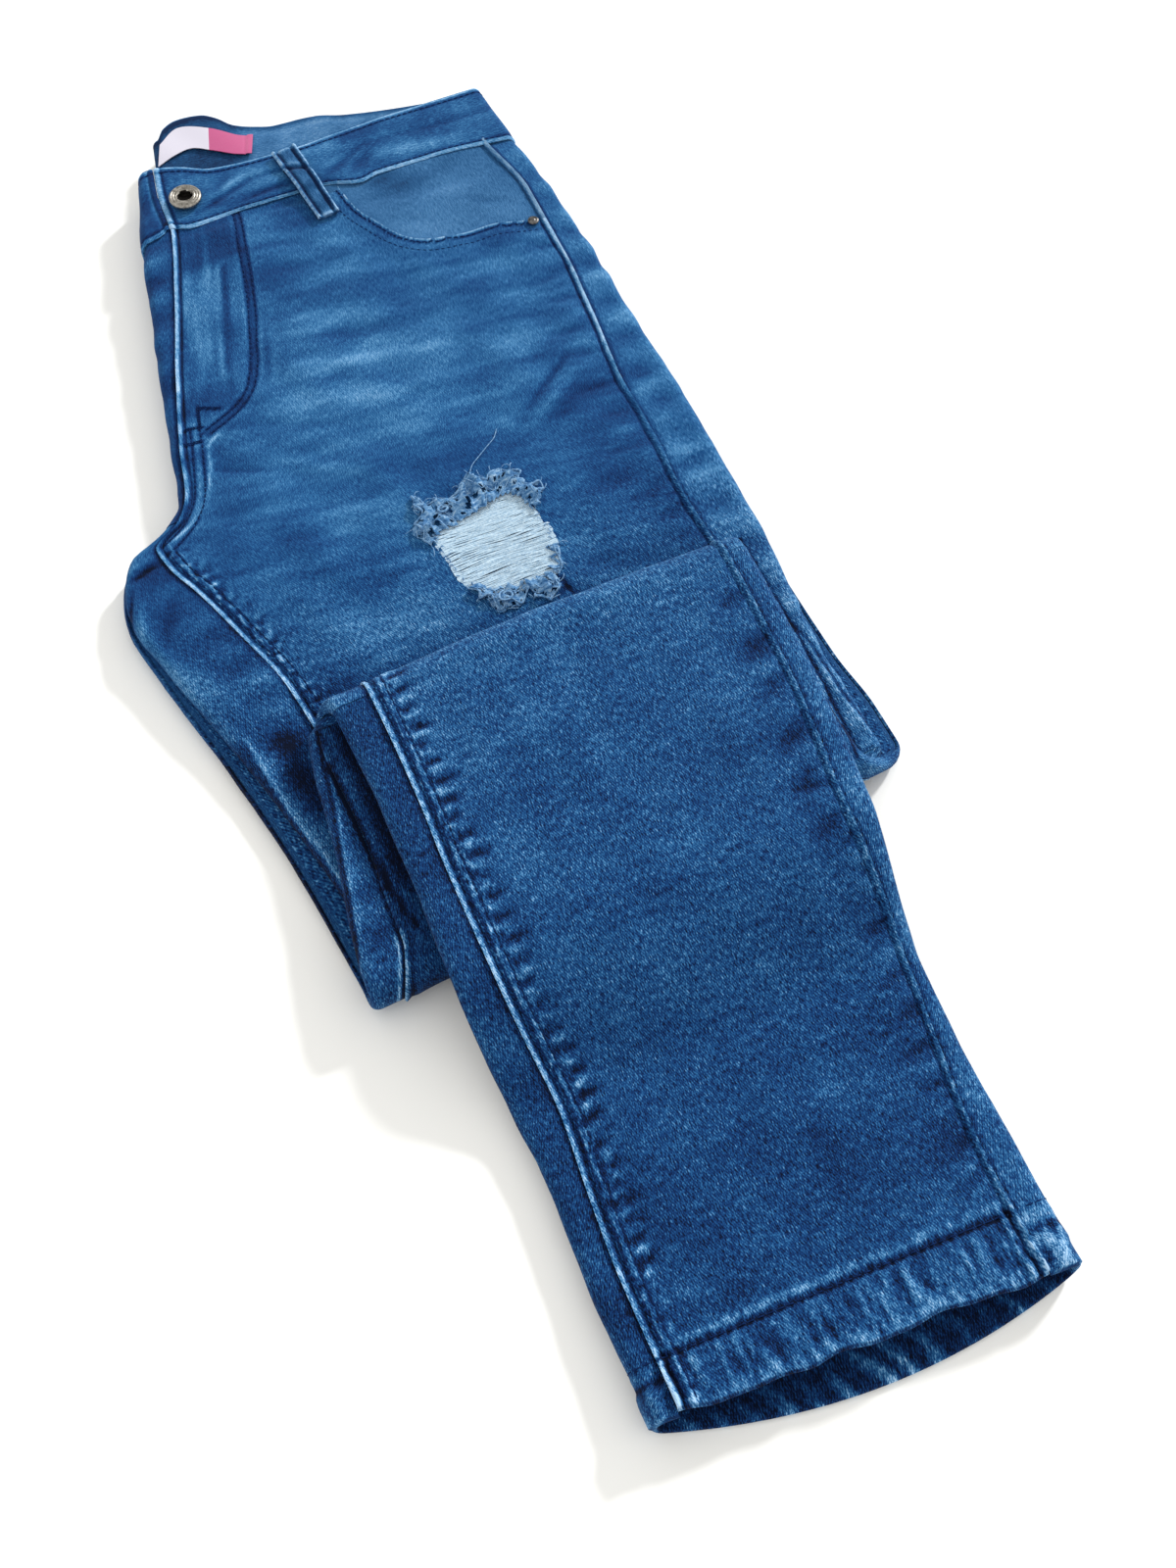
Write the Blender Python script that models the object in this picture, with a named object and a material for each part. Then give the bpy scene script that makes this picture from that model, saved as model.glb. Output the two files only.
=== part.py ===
"""Ripped stretch-denim jeans, folded for a shelf and lying on a flat surface.

They are folded in half lengthwise with the fly outside, so that the left leg lies on the right
leg, and then twice across the legs: at the knee (fold 1, the near edge) the legs turn up and
back, and on the thigh (fold 2) they turn forward again and run down to the hem.

Frame: +X to the wearer's left, +Y towards the waist, +Z up, origin under the middle of the
whole bundle, on the surface it lies on. Sizes are in centimetres until a point is placed.

Every leg piece is one wall swept along the same folded line. The line follows the outer face
of the right front panel. A section stands on it at each row of the tables below, and heights
in a section are measured from that face towards the left front panel.
"""

import math
from collections import namedtuple

import bmesh
import bpy

CM = 0.01                 # metres in a centimetre

# Cloth
PLY = 0.12                # one layer of denim
BAND_PLY = 0.25           # waistband: two layers and its stiffener
GAP = 0.03                # clearance between neighbouring pieces
SKIN = PLY + GAP          # from a leg's outer face to the hidden layers
EDGE_BULGE = 0.3          # how far a leg's folded edge rounds outwards
EDGE_ANGLES = (90, 30, -30, -90)   # points round a folded edge, from the left leg's face down
HEM_PLY = 0.30            # the hem is turned up twice

# Folds
PANEL_TOP_Y = 29.0        # the leg panels end here, at the waistband's seam
FOLD_1_Y = -13.5          # middle of the knee fold's turn
FOLD_1_RADIUS = 1.165     # outer face of the knee fold
FOLD_2_Y = -2.2           # middle of the second fold's turn
FOLD_2_RADIUS = 0.015     # innermost face of the second fold
FOLD_STEPS = 6            # sections round each half turn
FALL_START_Y = -15.4      # the lower legs leave the pile here ...
FALL_END_Y = -22.5        # ... and lie on the surface from here on
MIDDLE_X = 1.8            # skewed rows turn about this line

# Right leg pieces
RIGHT_WRAP = 2.2          # how far the right back panel shows beside the right front panel
RIGHT_WRAP_LOWER = 0.5    # the same on the hidden lower leg
RIGHT_HEM_Y = -33.9       # the right hem lies hidden behind the left hem
LEG_SPLIT = 0.45          # height of the left leg's underside on the right lower leg

# Left hem
HEM_TURN_UP_Y = -30.0     # the front panel thickens from here to the turned-up hem

# One row for each section. "in" is the inseam and fly side, "out" the side-seam side.
# left_* are the left leg's folded edges, right_* the right leg's, seam_* the edges of the left
# front panel, thick the whole stack, crown the swell in its middle, skew its slant in y.
Section = namedtuple("Section", "y left_in right_in seam_in seam_out left_out right_out "
                                "thick crown skew")
THIGH = [
    Section(PANEL_TOP_Y, -7.7, -7.7, -6.0, 11.9, 13.5, 13.5, 2.00, 0.05, 0.0),
    Section(25.0, -8.5, -8.5, -7.1, 12.7, 14.0, 14.1, 1.85, 0.10, 0.0),
    Section(20.0, -9.5, -9.5, -8.4, 12.7, 14.3, 14.4, 1.70, 0.15, 0.0),
    Section(15.5, -10.3, -10.3, -9.6, 12.4, 14.4, 14.3, 1.60, 0.20, 0.0),
    Section(12.6, -10.9, -10.9, -10.3, 12.1, 14.5, 14.4, 1.55, 0.20, 0.0),
    Section(11.4, -11.9, -12.0, -11.2, 12.0, 14.6, 14.5, 1.55, 0.20, 0.0),
    Section(10.5, -13.8, -14.0, -12.2, 12.0, 14.6, 14.5, 1.50, 0.20, 0.0),
    Section(9.0, -14.6, -14.8, -12.2, 12.0, 14.6, 14.5, 1.50, 0.20, 0.0),
    Section(7.0, -14.9, -15.15, -11.4, 12.0, 14.6, 14.5, 1.50, 0.20, 0.0),
    Section(4.0, -14.2, -14.6, -10.3, 11.8, 14.6, 14.5, 1.45, 0.20, 0.0),
    Section(1.0, -13.3, -13.9, -9.4, 12.0, 14.6, 14.5, 1.35, 0.10, 0.0),
    Section(-1.3, -12.6, -13.3, -9.0, 12.2, 14.5, 14.5, 1.20, 0.0, 0.0),
    Section(-7.5, -11.0, -12.0, -8.2, 12.4, 14.1, 14.7, 1.18, 0.0, 0.025),
    Section(-11.0, -10.4, -11.5, -7.8, 12.4, 14.2, 15.1, 1.15, 0.0, 0.05),
    Section(FOLD_1_Y, -10.4, -11.2, -7.6, 12.3, 14.2, 15.15, 1.15, 0.0, 0.07),
]
MIDDLE = [
    Section(FOLD_1_Y, -10.6, -11.1, -7.4, 11.6, 12.3, 12.7, 1.15, 0.0, 0.07),
    Section(-8.0, -9.9, -10.2, -6.9, 11.4, 12.3, 12.6, 1.12, 0.0, 0.04),
    Section(FOLD_2_Y, -9.1, -9.4, -6.6, 11.3, 12.4, 12.5, 1.10, 0.0, 0.04),
]
LOWER = [
    Section(FOLD_2_Y, -8.1, -7.6, -6.5, 11.3, 12.5, 12.2, 1.15, 0.0, 0.04),
    Section(-8.0, -7.8, -7.2, -6.3, 11.0, 12.4, 12.0, 1.15, 0.05, 0.0),
    Section(-12.0, -7.8, -7.2, -6.3, 10.8, 12.0, 11.5, 1.15, 0.05, 0.0),
    Section(FALL_START_Y, -7.9, -7.3, -6.3, 10.7, 11.6, 11.1, 1.15, 0.05, 0.0),
    Section(-17.2, -8.0, -7.4, -6.3, 10.5, 11.2, 10.7, 1.15, 0.05, 0.0),
    Section(-19.0, -8.0, -7.4, -6.3, 10.2, 10.9, 10.4, 1.18, 0.10, 0.0),
    Section(-20.8, -8.0, -7.3, -6.3, 9.9, 10.6, 10.1, 1.20, 0.10, 0.0),
    Section(FALL_END_Y, -7.9, -7.2, -6.2, 9.6, 10.4, 9.9, 1.20, 0.10, 0.0),
    Section(-26.0, -7.5, -6.9, -6.2, 9.2, 10.3, 9.8, 1.25, 0.10, 0.0),
    Section(HEM_TURN_UP_Y, -7.5, -6.9, -6.3, 8.8, 10.4, 9.9, 1.35, 0.10, 0.0),
    Section(RIGHT_HEM_Y, -7.4, -6.8, -6.3, 8.8, 10.3, 9.8, 1.60, 0.10, -0.04),
    Section(-34.9, -7.4, -6.8, -6.3, 8.8, 10.3, 9.8, 1.70, 0.05, -0.06),
    Section(-35.5, -7.4, -6.8, -6.3, 8.8, 10.3, 9.8, 1.70, 0.05, -0.065),
]
HEM_BOW = {-34.9: 0.7, -35.5: 1.4}   # the back of the hem lies this much further out

# The waistband, as sections beyond the leg panels
WAIST = [
    Section(29.05, -7.7, -7.7, -5.9, 11.9, 13.5, 13.5, 2.05, 0.05, 0.0),
    Section(31.2, -7.2, -7.2, -5.7, 11.9, 13.3, 13.3, 2.10, 0.05, 0.0),
    Section(33.4, -6.7, -6.7, -5.4, 11.9, 13.1, 13.1, 2.15, 0.05, 0.0),
]

# The back waistband's upper edge: it stands highest at the centre-back fold
BackEdge = namedtuple("BackEdge", "x top_y")
BACK_BAND = [
    BackEdge(-4.4, 36.6),
    BackEdge(-3.2, 37.0),
    BackEdge(-1.4, 36.7),
    BackEdge(0.8, 35.6),
    BackEdge(4.0, 34.9),
    BackEdge(8.0, 34.2),
    BackEdge(12.2, 33.6),
]
BACK_BAND_BOTTOM_Y = PANEL_TOP_Y + GAP
BACK_BAND_UPPER_Z = 1.3   # underside of its upper half, inner face up
BACK_BAND_LOWER_Z = 0.64  # underside of its lower half

# The rip on the left thigh
RIP_X, RIP_Y = 2.3, 3.9
RIP_HALF_WIDTH, RIP_HALF_LENGTH = 2.6, 2.5
RIP_POINTS = 14
THREAD_PLY = 0.10
FACING_PLY = 0.10         # the pocket facing, in a lighter denim

# The left front pocket: its curved opening, from the waistband to the side seam
Point = namedtuple("Point", "x y")
POCKET_OPENING = [
    Point(3.2, 29.5), Point(3.5, 27.8), Point(4.2, 26.3), Point(5.2, 24.9), Point(6.6, 23.9),
    Point(8.3, 23.5), Point(10.3, 23.5), Point(13.0, 22.9),
]
SIDE_SEAM_X = 12.35       # the facing's straight edge beside the side seam
RIVET_AT = Point(12.0, 22.6)
BUTTON_AT = Point(-4.5, 31.1)
BELT_LOOP = (Point(1.25, 32.2), Point(2.1, 27.0))
BELT_LOOP_WIDTH = 1.2
LoopStep = namedtuple("LoopStep", "share rise thick")
BELT_LOOP_STEPS = [           # along the loop: its lift off the band, and thicker turned-under ends
    LoopStep(0.0, 0.0, 0.35), LoopStep(0.1, 0.06, 0.3), LoopStep(0.35, 0.15, 0.2),
    LoopStep(0.65, 0.15, 0.2), LoopStep(0.9, 0.06, 0.3), LoopStep(1.0, 0.0, 0.35),
]
CUTTER_BOTTOM, CUTTER_TOP = 1.2, 2.5   # heights that take in the thigh's front panel
LABEL_PLY = 0.10
LABEL = (Point(-4.3, 36.4), Point(0.3, 34.9), Point(-0.4, 33.0), Point(-4.4, 34.7))

DENIM = (0.045, 0.125, 0.30)
DENIM_DARK = (0.025, 0.07, 0.18)
DENIM_INSIDE = (0.10, 0.17, 0.30)


# ---------------------------------------------------------------- the folded line and its sections

Station = namedtuple("Station", Section._fields + ("z", "turn", "split", "wrap"))


def fall_height(y):
    """Height of the lower legs' underside: on the pile, sliding off it, then on the surface."""
    pile = 2 * (FOLD_1_RADIUS + FOLD_2_RADIUS)
    t = min(max((y - FALL_END_Y) / (FALL_START_Y - FALL_END_Y), 0.0), 1.0)
    return pile * t * t * (3 - 2 * t)


def blend(first, second, share):
    return Section(*(a + (b - a) * share for a, b in zip(first, second)))


def station(section, y, z, turn, split, wrap):
    return Station(*section._replace(y=y), z, turn, split, wrap)


def fold_line():
    """All stations, from the waistband seam to the left hem, and the index of each stretch."""
    line = [station(s, s.y, 0.0, 0.0, s.thick / 2, RIGHT_WRAP) for s in THIGH]
    marks = {"fold 1": len(line) - 1}
    for step in range(1, FOLD_STEPS):
        share = step / FOLD_STEPS
        turn = math.pi * share
        s = blend(THIGH[-1], MIDDLE[0], share)
        line.append(station(s, FOLD_1_Y - FOLD_1_RADIUS * math.sin(turn),
                            FOLD_1_RADIUS * (1 - math.cos(turn)), turn, s.thick / 2, RIGHT_WRAP))
    top = 2 * FOLD_1_RADIUS
    line += [station(s, s.y, top, math.pi, s.thick / 2, RIGHT_WRAP) for s in MIDDLE]
    for step in range(1, FOLD_STEPS):
        share = step / FOLD_STEPS
        turn = math.pi * (1 - share)
        s = blend(MIDDLE[-1], LOWER[0], share)
        wrap = RIGHT_WRAP + (RIGHT_WRAP_LOWER - RIGHT_WRAP) * share
        line.append(station(s, FOLD_2_Y + FOLD_2_RADIUS * math.sin(turn),
                            top + FOLD_2_RADIUS * (1 + math.cos(turn)), turn, s.thick / 2, wrap))
    marks["lower leg"] = len(line)
    for s in LOWER:
        slope = (fall_height(s.y + 0.1) - fall_height(s.y - 0.1)) / 0.2
        split = LEG_SPLIT if s.y >= RIGHT_HEM_Y else 0.0
        line.append(station(s, s.y, fall_height(s.y), -math.atan(slope), split, RIGHT_WRAP_LOWER))
        if s.y == RIGHT_HEM_Y:
            marks["right hem"] = len(line) - 1
    marks["hem"] = len(line) - 1
    marks["crotch"] = next(i for i, s in enumerate(THIGH) if s.y < 12.0)
    return line, marks


LINE, MARK = fold_line()


def stretch(start, end):
    """The stations from one place on the line to another; a place may lie between two rows."""
    def at(place):
        low = min(int(place), len(LINE) - 2)
        share = place - low
        return Station(*(a + (b - a) * share for a, b in zip(LINE[low], LINE[low + 1])))
    inner = [LINE[i] for i in range(math.floor(start) + 1, math.ceil(end))]
    return [at(start)] + inner + [at(end)]


def place(s, x, height, bow=0.0):
    """A section's point in the part's frame, in metres."""
    width = (s.left_out - s.left_in) / 2
    across = (x - (s.left_in + s.left_out) / 2) / width
    y = s.y + s.skew * (x - MIDDLE_X) + height * math.sin(s.turn) - bow * max(0.0, 1 - across ** 2)
    return (x * CM, y * CM, (s.z + height * math.cos(s.turn)) * CM)


def spread(start, end, count):
    return [start + (end - start) * i / (count - 1) for i in range(count)]


def edge_x(s, leg, side):
    """Where a leg's face ends and its folded edge begins to round."""
    x = getattr(s, f"{leg}_{side}")
    return x + SKIN + EDGE_BULGE if side == "in" else x - SKIN - EDGE_BULGE


def left_face(s, x, lift):
    """A point over the hidden layers, on the left leg's side."""
    start, end = edge_x(s, "left", "in"), edge_x(s, "left", "out")
    across = (2 * x - start - end) / (end - start)
    return (x, s.thick - SKIN + lift + s.crown * max(0.0, 1 - across ** 2))


def right_face(s, x, lift):
    return (x, SKIN - lift)


def edge_arc(s, leg, side, lift, angles=EDGE_ANGLES):
    """Points round a leg's folded edge; 90 degrees is the side of the left leg's face."""
    slit = 0.01
    low, high = (s.split + slit, s.thick - SKIN) if leg == "left" else (SKIN, s.split - slit)
    sign = -1 if side == "in" else 1
    radius = (high - low) / 2
    points = []
    for degrees in angles:
        a = math.radians(degrees)
        points.append((edge_x(s, leg, side) + sign * (EDGE_BULGE + lift) * math.cos(a),
                       (low + high) / 2 + (radius + lift) * math.sin(a)))
    return points


def edge_limit(s, leg, lift):
    """The angle at which a leg's folded edge reaches the other leg."""
    low, high = (s.split, s.thick - SKIN) if leg == "left" else (SKIN, s.split)
    radius = (high - low) / 2
    return math.degrees(math.asin(min(1.0, (radius - GAP / 2) / (radius + lift))))


# ---------------------------------------------------------------- mesh helpers

def material(name, colour, roughness, metallic=0.0):
    made = bpy.data.materials.new(name)
    made.use_nodes = True
    shader = made.node_tree.nodes["Principled BSDF"]
    shader.inputs["Base Color"].default_value = (*colour, 1.0)
    shader.inputs["Roughness"].default_value = roughness
    shader.inputs["Metallic"].default_value = metallic
    return made


def add_object(name, bm, colour, roughness=0.9, metallic=0.0, smooth=False):
    # neighbouring walls split their quads alike, so that their gap stays even
    bmesh.ops.triangulate(bm, faces=bm.faces, quad_method="SHORT_EDGE", ngon_method="EAR_CLIP")
    bmesh.ops.recalc_face_normals(bm, faces=bm.faces)
    mesh = bpy.data.meshes.new(name)
    bm.to_mesh(mesh)
    bm.free()
    if smooth:
        mesh.shade_smooth()
        mesh.set_sharp_from_angle(angle=math.radians(40))
    made = bpy.data.objects.new(name, mesh)
    made.data.materials.append(material(name, colour, roughness, metallic))
    bpy.context.collection.objects.link(made)
    return made


def bridge(bm, first, second):
    """Faces between two closed rings of vertices."""
    count = len(first)
    for i in range(count):
        j = (i + 1) % count
        bm.faces.new((first[i], first[j], second[j], second[i]))


def wall(name, stations, path, low, high, colour, bow=None):
    """A wall swept along the stations: path(station, lift) gives its line in each section."""
    bm = bmesh.new()
    rings = []
    for s in stations:
        shift = bow(s) if bow else 0.0
        outer = [bm.verts.new(place(s, *p, shift)) for p in path(s, high)]
        inner = [bm.verts.new(place(s, *p, shift)) for p in path(s, low)]
        rings.append(outer + inner[::-1])
    for first, second in zip(rings, rings[1:]):
        bridge(bm, first, second)
    for ring in (rings[0], rings[-1]):
        count = len(ring)
        for i in range(count // 2 - 1):
            bm.faces.new((ring[i], ring[i + 1], ring[count - 2 - i], ring[count - 1 - i]))
    return add_object(name, bm, colour)


def solid(name, stations, outline, colour):
    """A solid swept along the stations: outline(station) gives its closed section."""
    bm = bmesh.new()
    rings = [[bm.verts.new(place(s, *p)) for p in outline(s)] for s in stations]
    for first, second in zip(rings, rings[1:]):
        bridge(bm, first, second)
    for ring in (rings[0], rings[-1]):
        bm.faces.new(ring)
    return add_object(name, bm, colour)


def plate(name, outline, bottom, top, colour):
    """A flat piece: its outline in x and y, and its two heights as functions of x and y."""
    bm = bmesh.new()
    centre = (sum(p[0] for p in outline) / len(outline), sum(p[1] for p in outline) / len(outline))
    rings = []
    for height in (bottom, top):
        ring = [bm.verts.new((x * CM, y * CM, height(x, y) * CM)) for x, y in outline]
        middle = bm.verts.new((centre[0] * CM, centre[1] * CM, height(*centre) * CM))
        for i in range(len(ring)):
            bm.faces.new((ring[i], ring[(i + 1) % len(ring)], middle))
        rings.append(ring)
    bridge(bm, *rings)
    return add_object(name, bm, colour)


def cut(target, name, outline):
    """Cuts a hole with an upright outline through the left thigh's panel."""
    cutter = plate(name, outline, lambda x, y: CUTTER_BOTTOM, lambda x, y: CUTTER_TOP, DENIM)
    cutter.hide_render = True
    cutter.display_type = "WIRE"
    hole = target.modifiers.new("cut", "BOOLEAN")
    hole.object = cutter
    hole.operation = "DIFFERENCE"


def thigh_height(lift):
    """The left thigh's face as a function of x and y, a given distance over the hidden layers."""
    rows = WAIST[::-1] + THIGH

    def height(x, y):
        for first, second in zip(rows, rows[1:]):
            if second.y <= y <= first.y:
                share = (first.y - y) / (first.y - second.y)
                s = blend(first, second, share)
                return left_face(s, x, lift)[1]
        raise ValueError("outside the thigh")
    return height


# ---------------------------------------------------------------- hidden layers

def core_outline(s):
    """Both legs' hidden layers, with a groove between the legs at each edge."""
    face_start, face_end = edge_x(s, "left", "in"), edge_x(s, "left", "out")
    face = [left_face(s, x, 0.0) for x in spread(face_start, face_end, 7)[1:-1]]
    under_start, under_end = edge_x(s, "right", "out"), edge_x(s, "right", "in")
    under = [right_face(s, x, 0.0) for x in spread(under_start, under_end, 4)[1:-1]]
    return (edge_arc(s, "left", "in", 0.0)[::-1] + face + edge_arc(s, "left", "out", 0.0)
            + edge_arc(s, "right", "out", 0.0) + under + edge_arc(s, "right", "in", 0.0)[::-1])


def build_hidden_layers():
    solid("folded_layers", LINE[:MARK["lower leg"] + 1], core_outline, DENIM_DARK)


# ---------------------------------------------------------------- left leg

def left_front_path(s, lift):
    in_lower_leg = s.wrap == RIGHT_WRAP_LOWER
    if lift < SKIN and in_lower_leg and s.y < HEM_TURN_UP_Y:
        share = min(1.0, (HEM_TURN_UP_Y - s.y) / (HEM_TURN_UP_Y - RIGHT_HEM_Y))
        lift -= (HEM_PLY - PLY) * share
    xs = spread(s.seam_in + GAP / 2, s.seam_out - GAP / 2, 7)
    return [left_face(s, x, lift) for x in xs]


def left_back_path(side):
    """The left back panel where it shows: beside the front panel and round the leg's edge."""
    def path(s, lift):
        limit = edge_limit(s, "left", lift)
        round_edge = edge_arc(s, "left", side, lift, (-limit,) + EDGE_ANGLES[2::-1])
        seam = s.seam_in - GAP / 2 if side == "in" else s.seam_out + GAP / 2
        beside = [left_face(s, x, lift) for x in spread(edge_x(s, "left", side), seam, 3)[1:]]
        return round_edge + beside
    return path


def left_lower_back_path(s, lift):
    """The left leg's back and both edges below fold 2: an open-topped tube round the leg."""
    inset = SKIN - lift
    low, high = s.split + inset, s.thick - inset
    radius = (high - low) / 2
    start, end = edge_x(s, "left", "in"), edge_x(s, "left", "out")

    def arc(x, sign, angles):
        return [(x + sign * (EDGE_BULGE + lift) * math.cos(math.radians(a)),
                 (low + high) / 2 + radius * math.sin(math.radians(a))) for a in angles]
    return ([left_face(s, s.seam_in - GAP / 2, lift)] + arc(start, -1, (90, 45, 0, -45, -90))
            + [(x, low) for x in spread(start, end, 5)[1:-1]]
            + arc(end, 1, (-90, -45, 0, 45, 90)) + [left_face(s, s.seam_out + GAP / 2, lift)])


def build_left_leg():
    front = wall("left_front_panel", LINE, left_front_path, GAP, SKIN, DENIM)
    cut(front, "rip_cutter", rip_outline(0.0))
    beyond_corner = Point(POCKET_OPENING[-1].x, POCKET_OPENING[0].y)
    cut(front, "pocket_cutter", list(POCKET_OPENING) + [beyond_corner])
    after_core = MARK["lower leg"] + 0.01
    wall("left_back_panel_inseam", stretch(MARK["crotch"] + 0.01, MARK["lower leg"]),
         left_back_path("in"), GAP, SKIN, DENIM)
    wall("left_back_panel_side", LINE[:MARK["lower leg"] + 1], left_back_path("out"), GAP, SKIN, DENIM)
    wall("left_back_panel_lower", stretch(after_core, MARK["hem"]), left_lower_back_path, GAP, SKIN,
         DENIM, bow=lambda s: HEM_BOW.get(s.y, 0.0))


# ---------------------------------------------------------------- right leg

def right_front_path(s, lift):
    xs = spread(s.right_in + s.wrap, s.right_out - s.wrap, 5)
    return [right_face(s, x, lift) for x in xs]


def right_back_path(side):
    def path(s, lift):
        limit = edge_limit(s, "right", lift)
        round_edge = edge_arc(s, "right", side, lift, (limit,) + EDGE_ANGLES[1:])
        seam = s.right_in + s.wrap - GAP if side == "in" else s.right_out - s.wrap + GAP
        beside = [right_face(s, x, lift) for x in spread(edge_x(s, "right", side), seam, 3)[1:]]
        return round_edge + beside
    return path


def right_lower_back_path(s, lift):
    """The right leg's back panel below fold 2, flat on its front panel."""
    xs = spread(s.right_in + RIGHT_WRAP_LOWER / 2, s.right_out - RIGHT_WRAP_LOWER / 2, 5)
    return [(x, lift) for x in xs]


def right_fly_path(s, lift):
    """The right front panel where it turns round the centre-front edge towards the fly."""
    beside = [left_face(s, x, lift) for x in spread(s.seam_in - GAP / 2, edge_x(s, "left", "in"), 3)]
    under_end = s.right_in + s.wrap - GAP
    under = [right_face(s, x, lift) for x in spread(edge_x(s, "right", "in"), under_end, 3)[1:]]
    return (beside[:-1] + edge_arc(s, "left", "in", lift, (90, 30, 0))
            + edge_arc(s, "right", "in", lift, (0, -30, -90)) + under)


def build_right_leg():
    wall("right_front_panel", LINE[:MARK["right hem"] + 1], right_front_path, GAP, SKIN, DENIM_DARK)
    wall("right_front_fly", stretch(0, MARK["crotch"] - 0.01), right_fly_path, GAP, SKIN, DENIM_DARK)
    before_lower = MARK["lower leg"] - 1
    wall("right_back_panel_inseam", stretch(MARK["crotch"] + 0.01, before_lower),
         right_back_path("in"), GAP, SKIN, DENIM_DARK)
    wall("right_back_panel_side", LINE[:before_lower + 1], right_back_path("out"), GAP, SKIN, DENIM_DARK)
    after_core = MARK["lower leg"] + 0.01
    wall("right_back_panel_lower", stretch(after_core, MARK["right hem"]), right_lower_back_path,
         SKIN, LEG_SPLIT - GAP, DENIM_DARK)


# ---------------------------------------------------------------- waistband

def band_stations():
    return [station(s, s.y, 0.0, 0.0, s.thick / 2, RIGHT_WRAP) for s in WAIST]


def left_band_path(s, lift):
    """The left front band lies on top and turns round the side edge."""
    xs = spread(s.seam_in, edge_x(s, "left", "out"), 8)
    limit = edge_limit(s, "left", lift)
    return ([left_face(s, x, lift) for x in xs[:-1]]
            + edge_arc(s, "left", "out", lift, EDGE_ANGLES[:3] + (-limit,)))


def right_band_path(s, lift):
    """The right front band lies underneath and turns up round the centre-front edge."""
    beside = [left_face(s, x, lift) for x in spread(s.seam_in - GAP, edge_x(s, "left", "in"), 3)]
    xs = spread(edge_x(s, "right", "in"), edge_x(s, "right", "out"), 6)
    under = [right_face(s, x, lift) for x in xs[1:-1]]
    limit = edge_limit(s, "right", lift)
    return (beside[:-1] + edge_arc(s, "left", "in", lift, (90, 30, 0))
            + edge_arc(s, "right", "in", lift, (0, -30, -90)) + under
            + edge_arc(s, "right", "out", lift, EDGE_ANGLES[:0:-1] + (limit,)))


def build_back_band():
    """The back band folds at the centre back: two halves joined by a turn at the left end."""
    def outline(top_y, z_upper, z_lower, x):
        return [(x, BACK_BAND_BOTTOM_Y, z_lower), (x, top_y, z_lower), (x, top_y, z_upper),
                (x, BACK_BAND_BOTTOM_Y, z_upper)]
    upper_top = BACK_BAND_UPPER_Z + BAND_PLY
    lower_bottom = BACK_BAND_LOWER_Z
    middle = (upper_top + lower_bottom) / 2
    turn = (upper_top - lower_bottom) / 2
    rings = []
    for edge in BACK_BAND[::-1]:
        rings.append(outline(edge.top_y, upper_top, BACK_BAND_UPPER_Z, edge.x))
    fold = BACK_BAND[0]
    for degrees in (45, 0, -45):
        a = math.radians(degrees)
        outer_x, outer_z = fold.x - turn * math.cos(a), middle + turn * math.sin(a)
        small = turn - BAND_PLY
        inner_x, inner_z = fold.x - small * math.cos(a), middle + small * math.sin(a)
        rings.append([(inner_x, BACK_BAND_BOTTOM_Y, inner_z), (inner_x, fold.top_y, inner_z),
                      (outer_x, fold.top_y, outer_z), (outer_x, BACK_BAND_BOTTOM_Y, outer_z)])
    for edge in BACK_BAND:
        rings.append(outline(edge.top_y, lower_bottom, lower_bottom + BAND_PLY, edge.x))
    bm = bmesh.new()
    made = [[bm.verts.new((x * CM, y * CM, z * CM)) for x, y, z in ring] for ring in rings]
    for first, second in zip(made, made[1:]):
        bridge(bm, first, second)
    for ring in (made[0], made[-1]):
        bm.faces.new(ring)
    add_object("waistband_back", bm, DENIM_INSIDE)


def build_waistband():
    wall("waistband_front_left", band_stations(), left_band_path, SKIN - BAND_PLY, SKIN, DENIM)
    wall("waistband_front_right", band_stations(), right_band_path, SKIN - BAND_PLY, SKIN, DENIM_DARK)
    build_back_band()
    top = BACK_BAND_UPPER_Z + BAND_PLY + GAP
    plate("label", LABEL, lambda x, y: top, lambda x, y: top + LABEL_PLY, (0.75, 0.35, 0.50))


# ---------------------------------------------------------------- small pieces

def rip_outline(inset):
    """The worn-through window: a rounded square with an uneven edge."""
    points = []
    for i in range(RIP_POINTS):
        a = 2 * math.pi * i / RIP_POINTS
        c, s = math.cos(a), math.sin(a)
        rounded = (abs(c) ** 3 + abs(s) ** 3) ** (-1 / 3)
        rough = 1 + 0.05 * math.sin(3 * a + 0.6)
        points.append((RIP_X + (RIP_HALF_WIDTH - inset) * rounded * rough * c,
                       RIP_Y + (RIP_HALF_LENGTH - inset) * rounded * rough * s))
    return points


def build_rip_threads():
    plate("rip_threads", rip_outline(1.5 * GAP), thigh_height(GAP), thigh_height(GAP + THREAD_PLY),
          (0.75, 0.82, 0.88))


def build_pocket_facing():
    """The denim panel behind the pocket opening, up to the side seam and the waistband."""
    inset = 2 * GAP
    curve = [(p.x + inset, p.y + inset) for p in POCKET_OPENING[1:-1]]
    side = [(SIDE_SEAM_X, RIVET_AT.y + 0.8), (SIDE_SEAM_X, RIVET_AT.y + 3), (11.7, PANEL_TOP_Y - GAP)]
    corner = (POCKET_OPENING[0].x + 3 * inset, PANEL_TOP_Y - GAP)
    plate("pocket_facing", [corner] + curve + side, thigh_height(GAP), thigh_height(GAP + FACING_PLY),
          DENIM_INSIDE)


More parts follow.
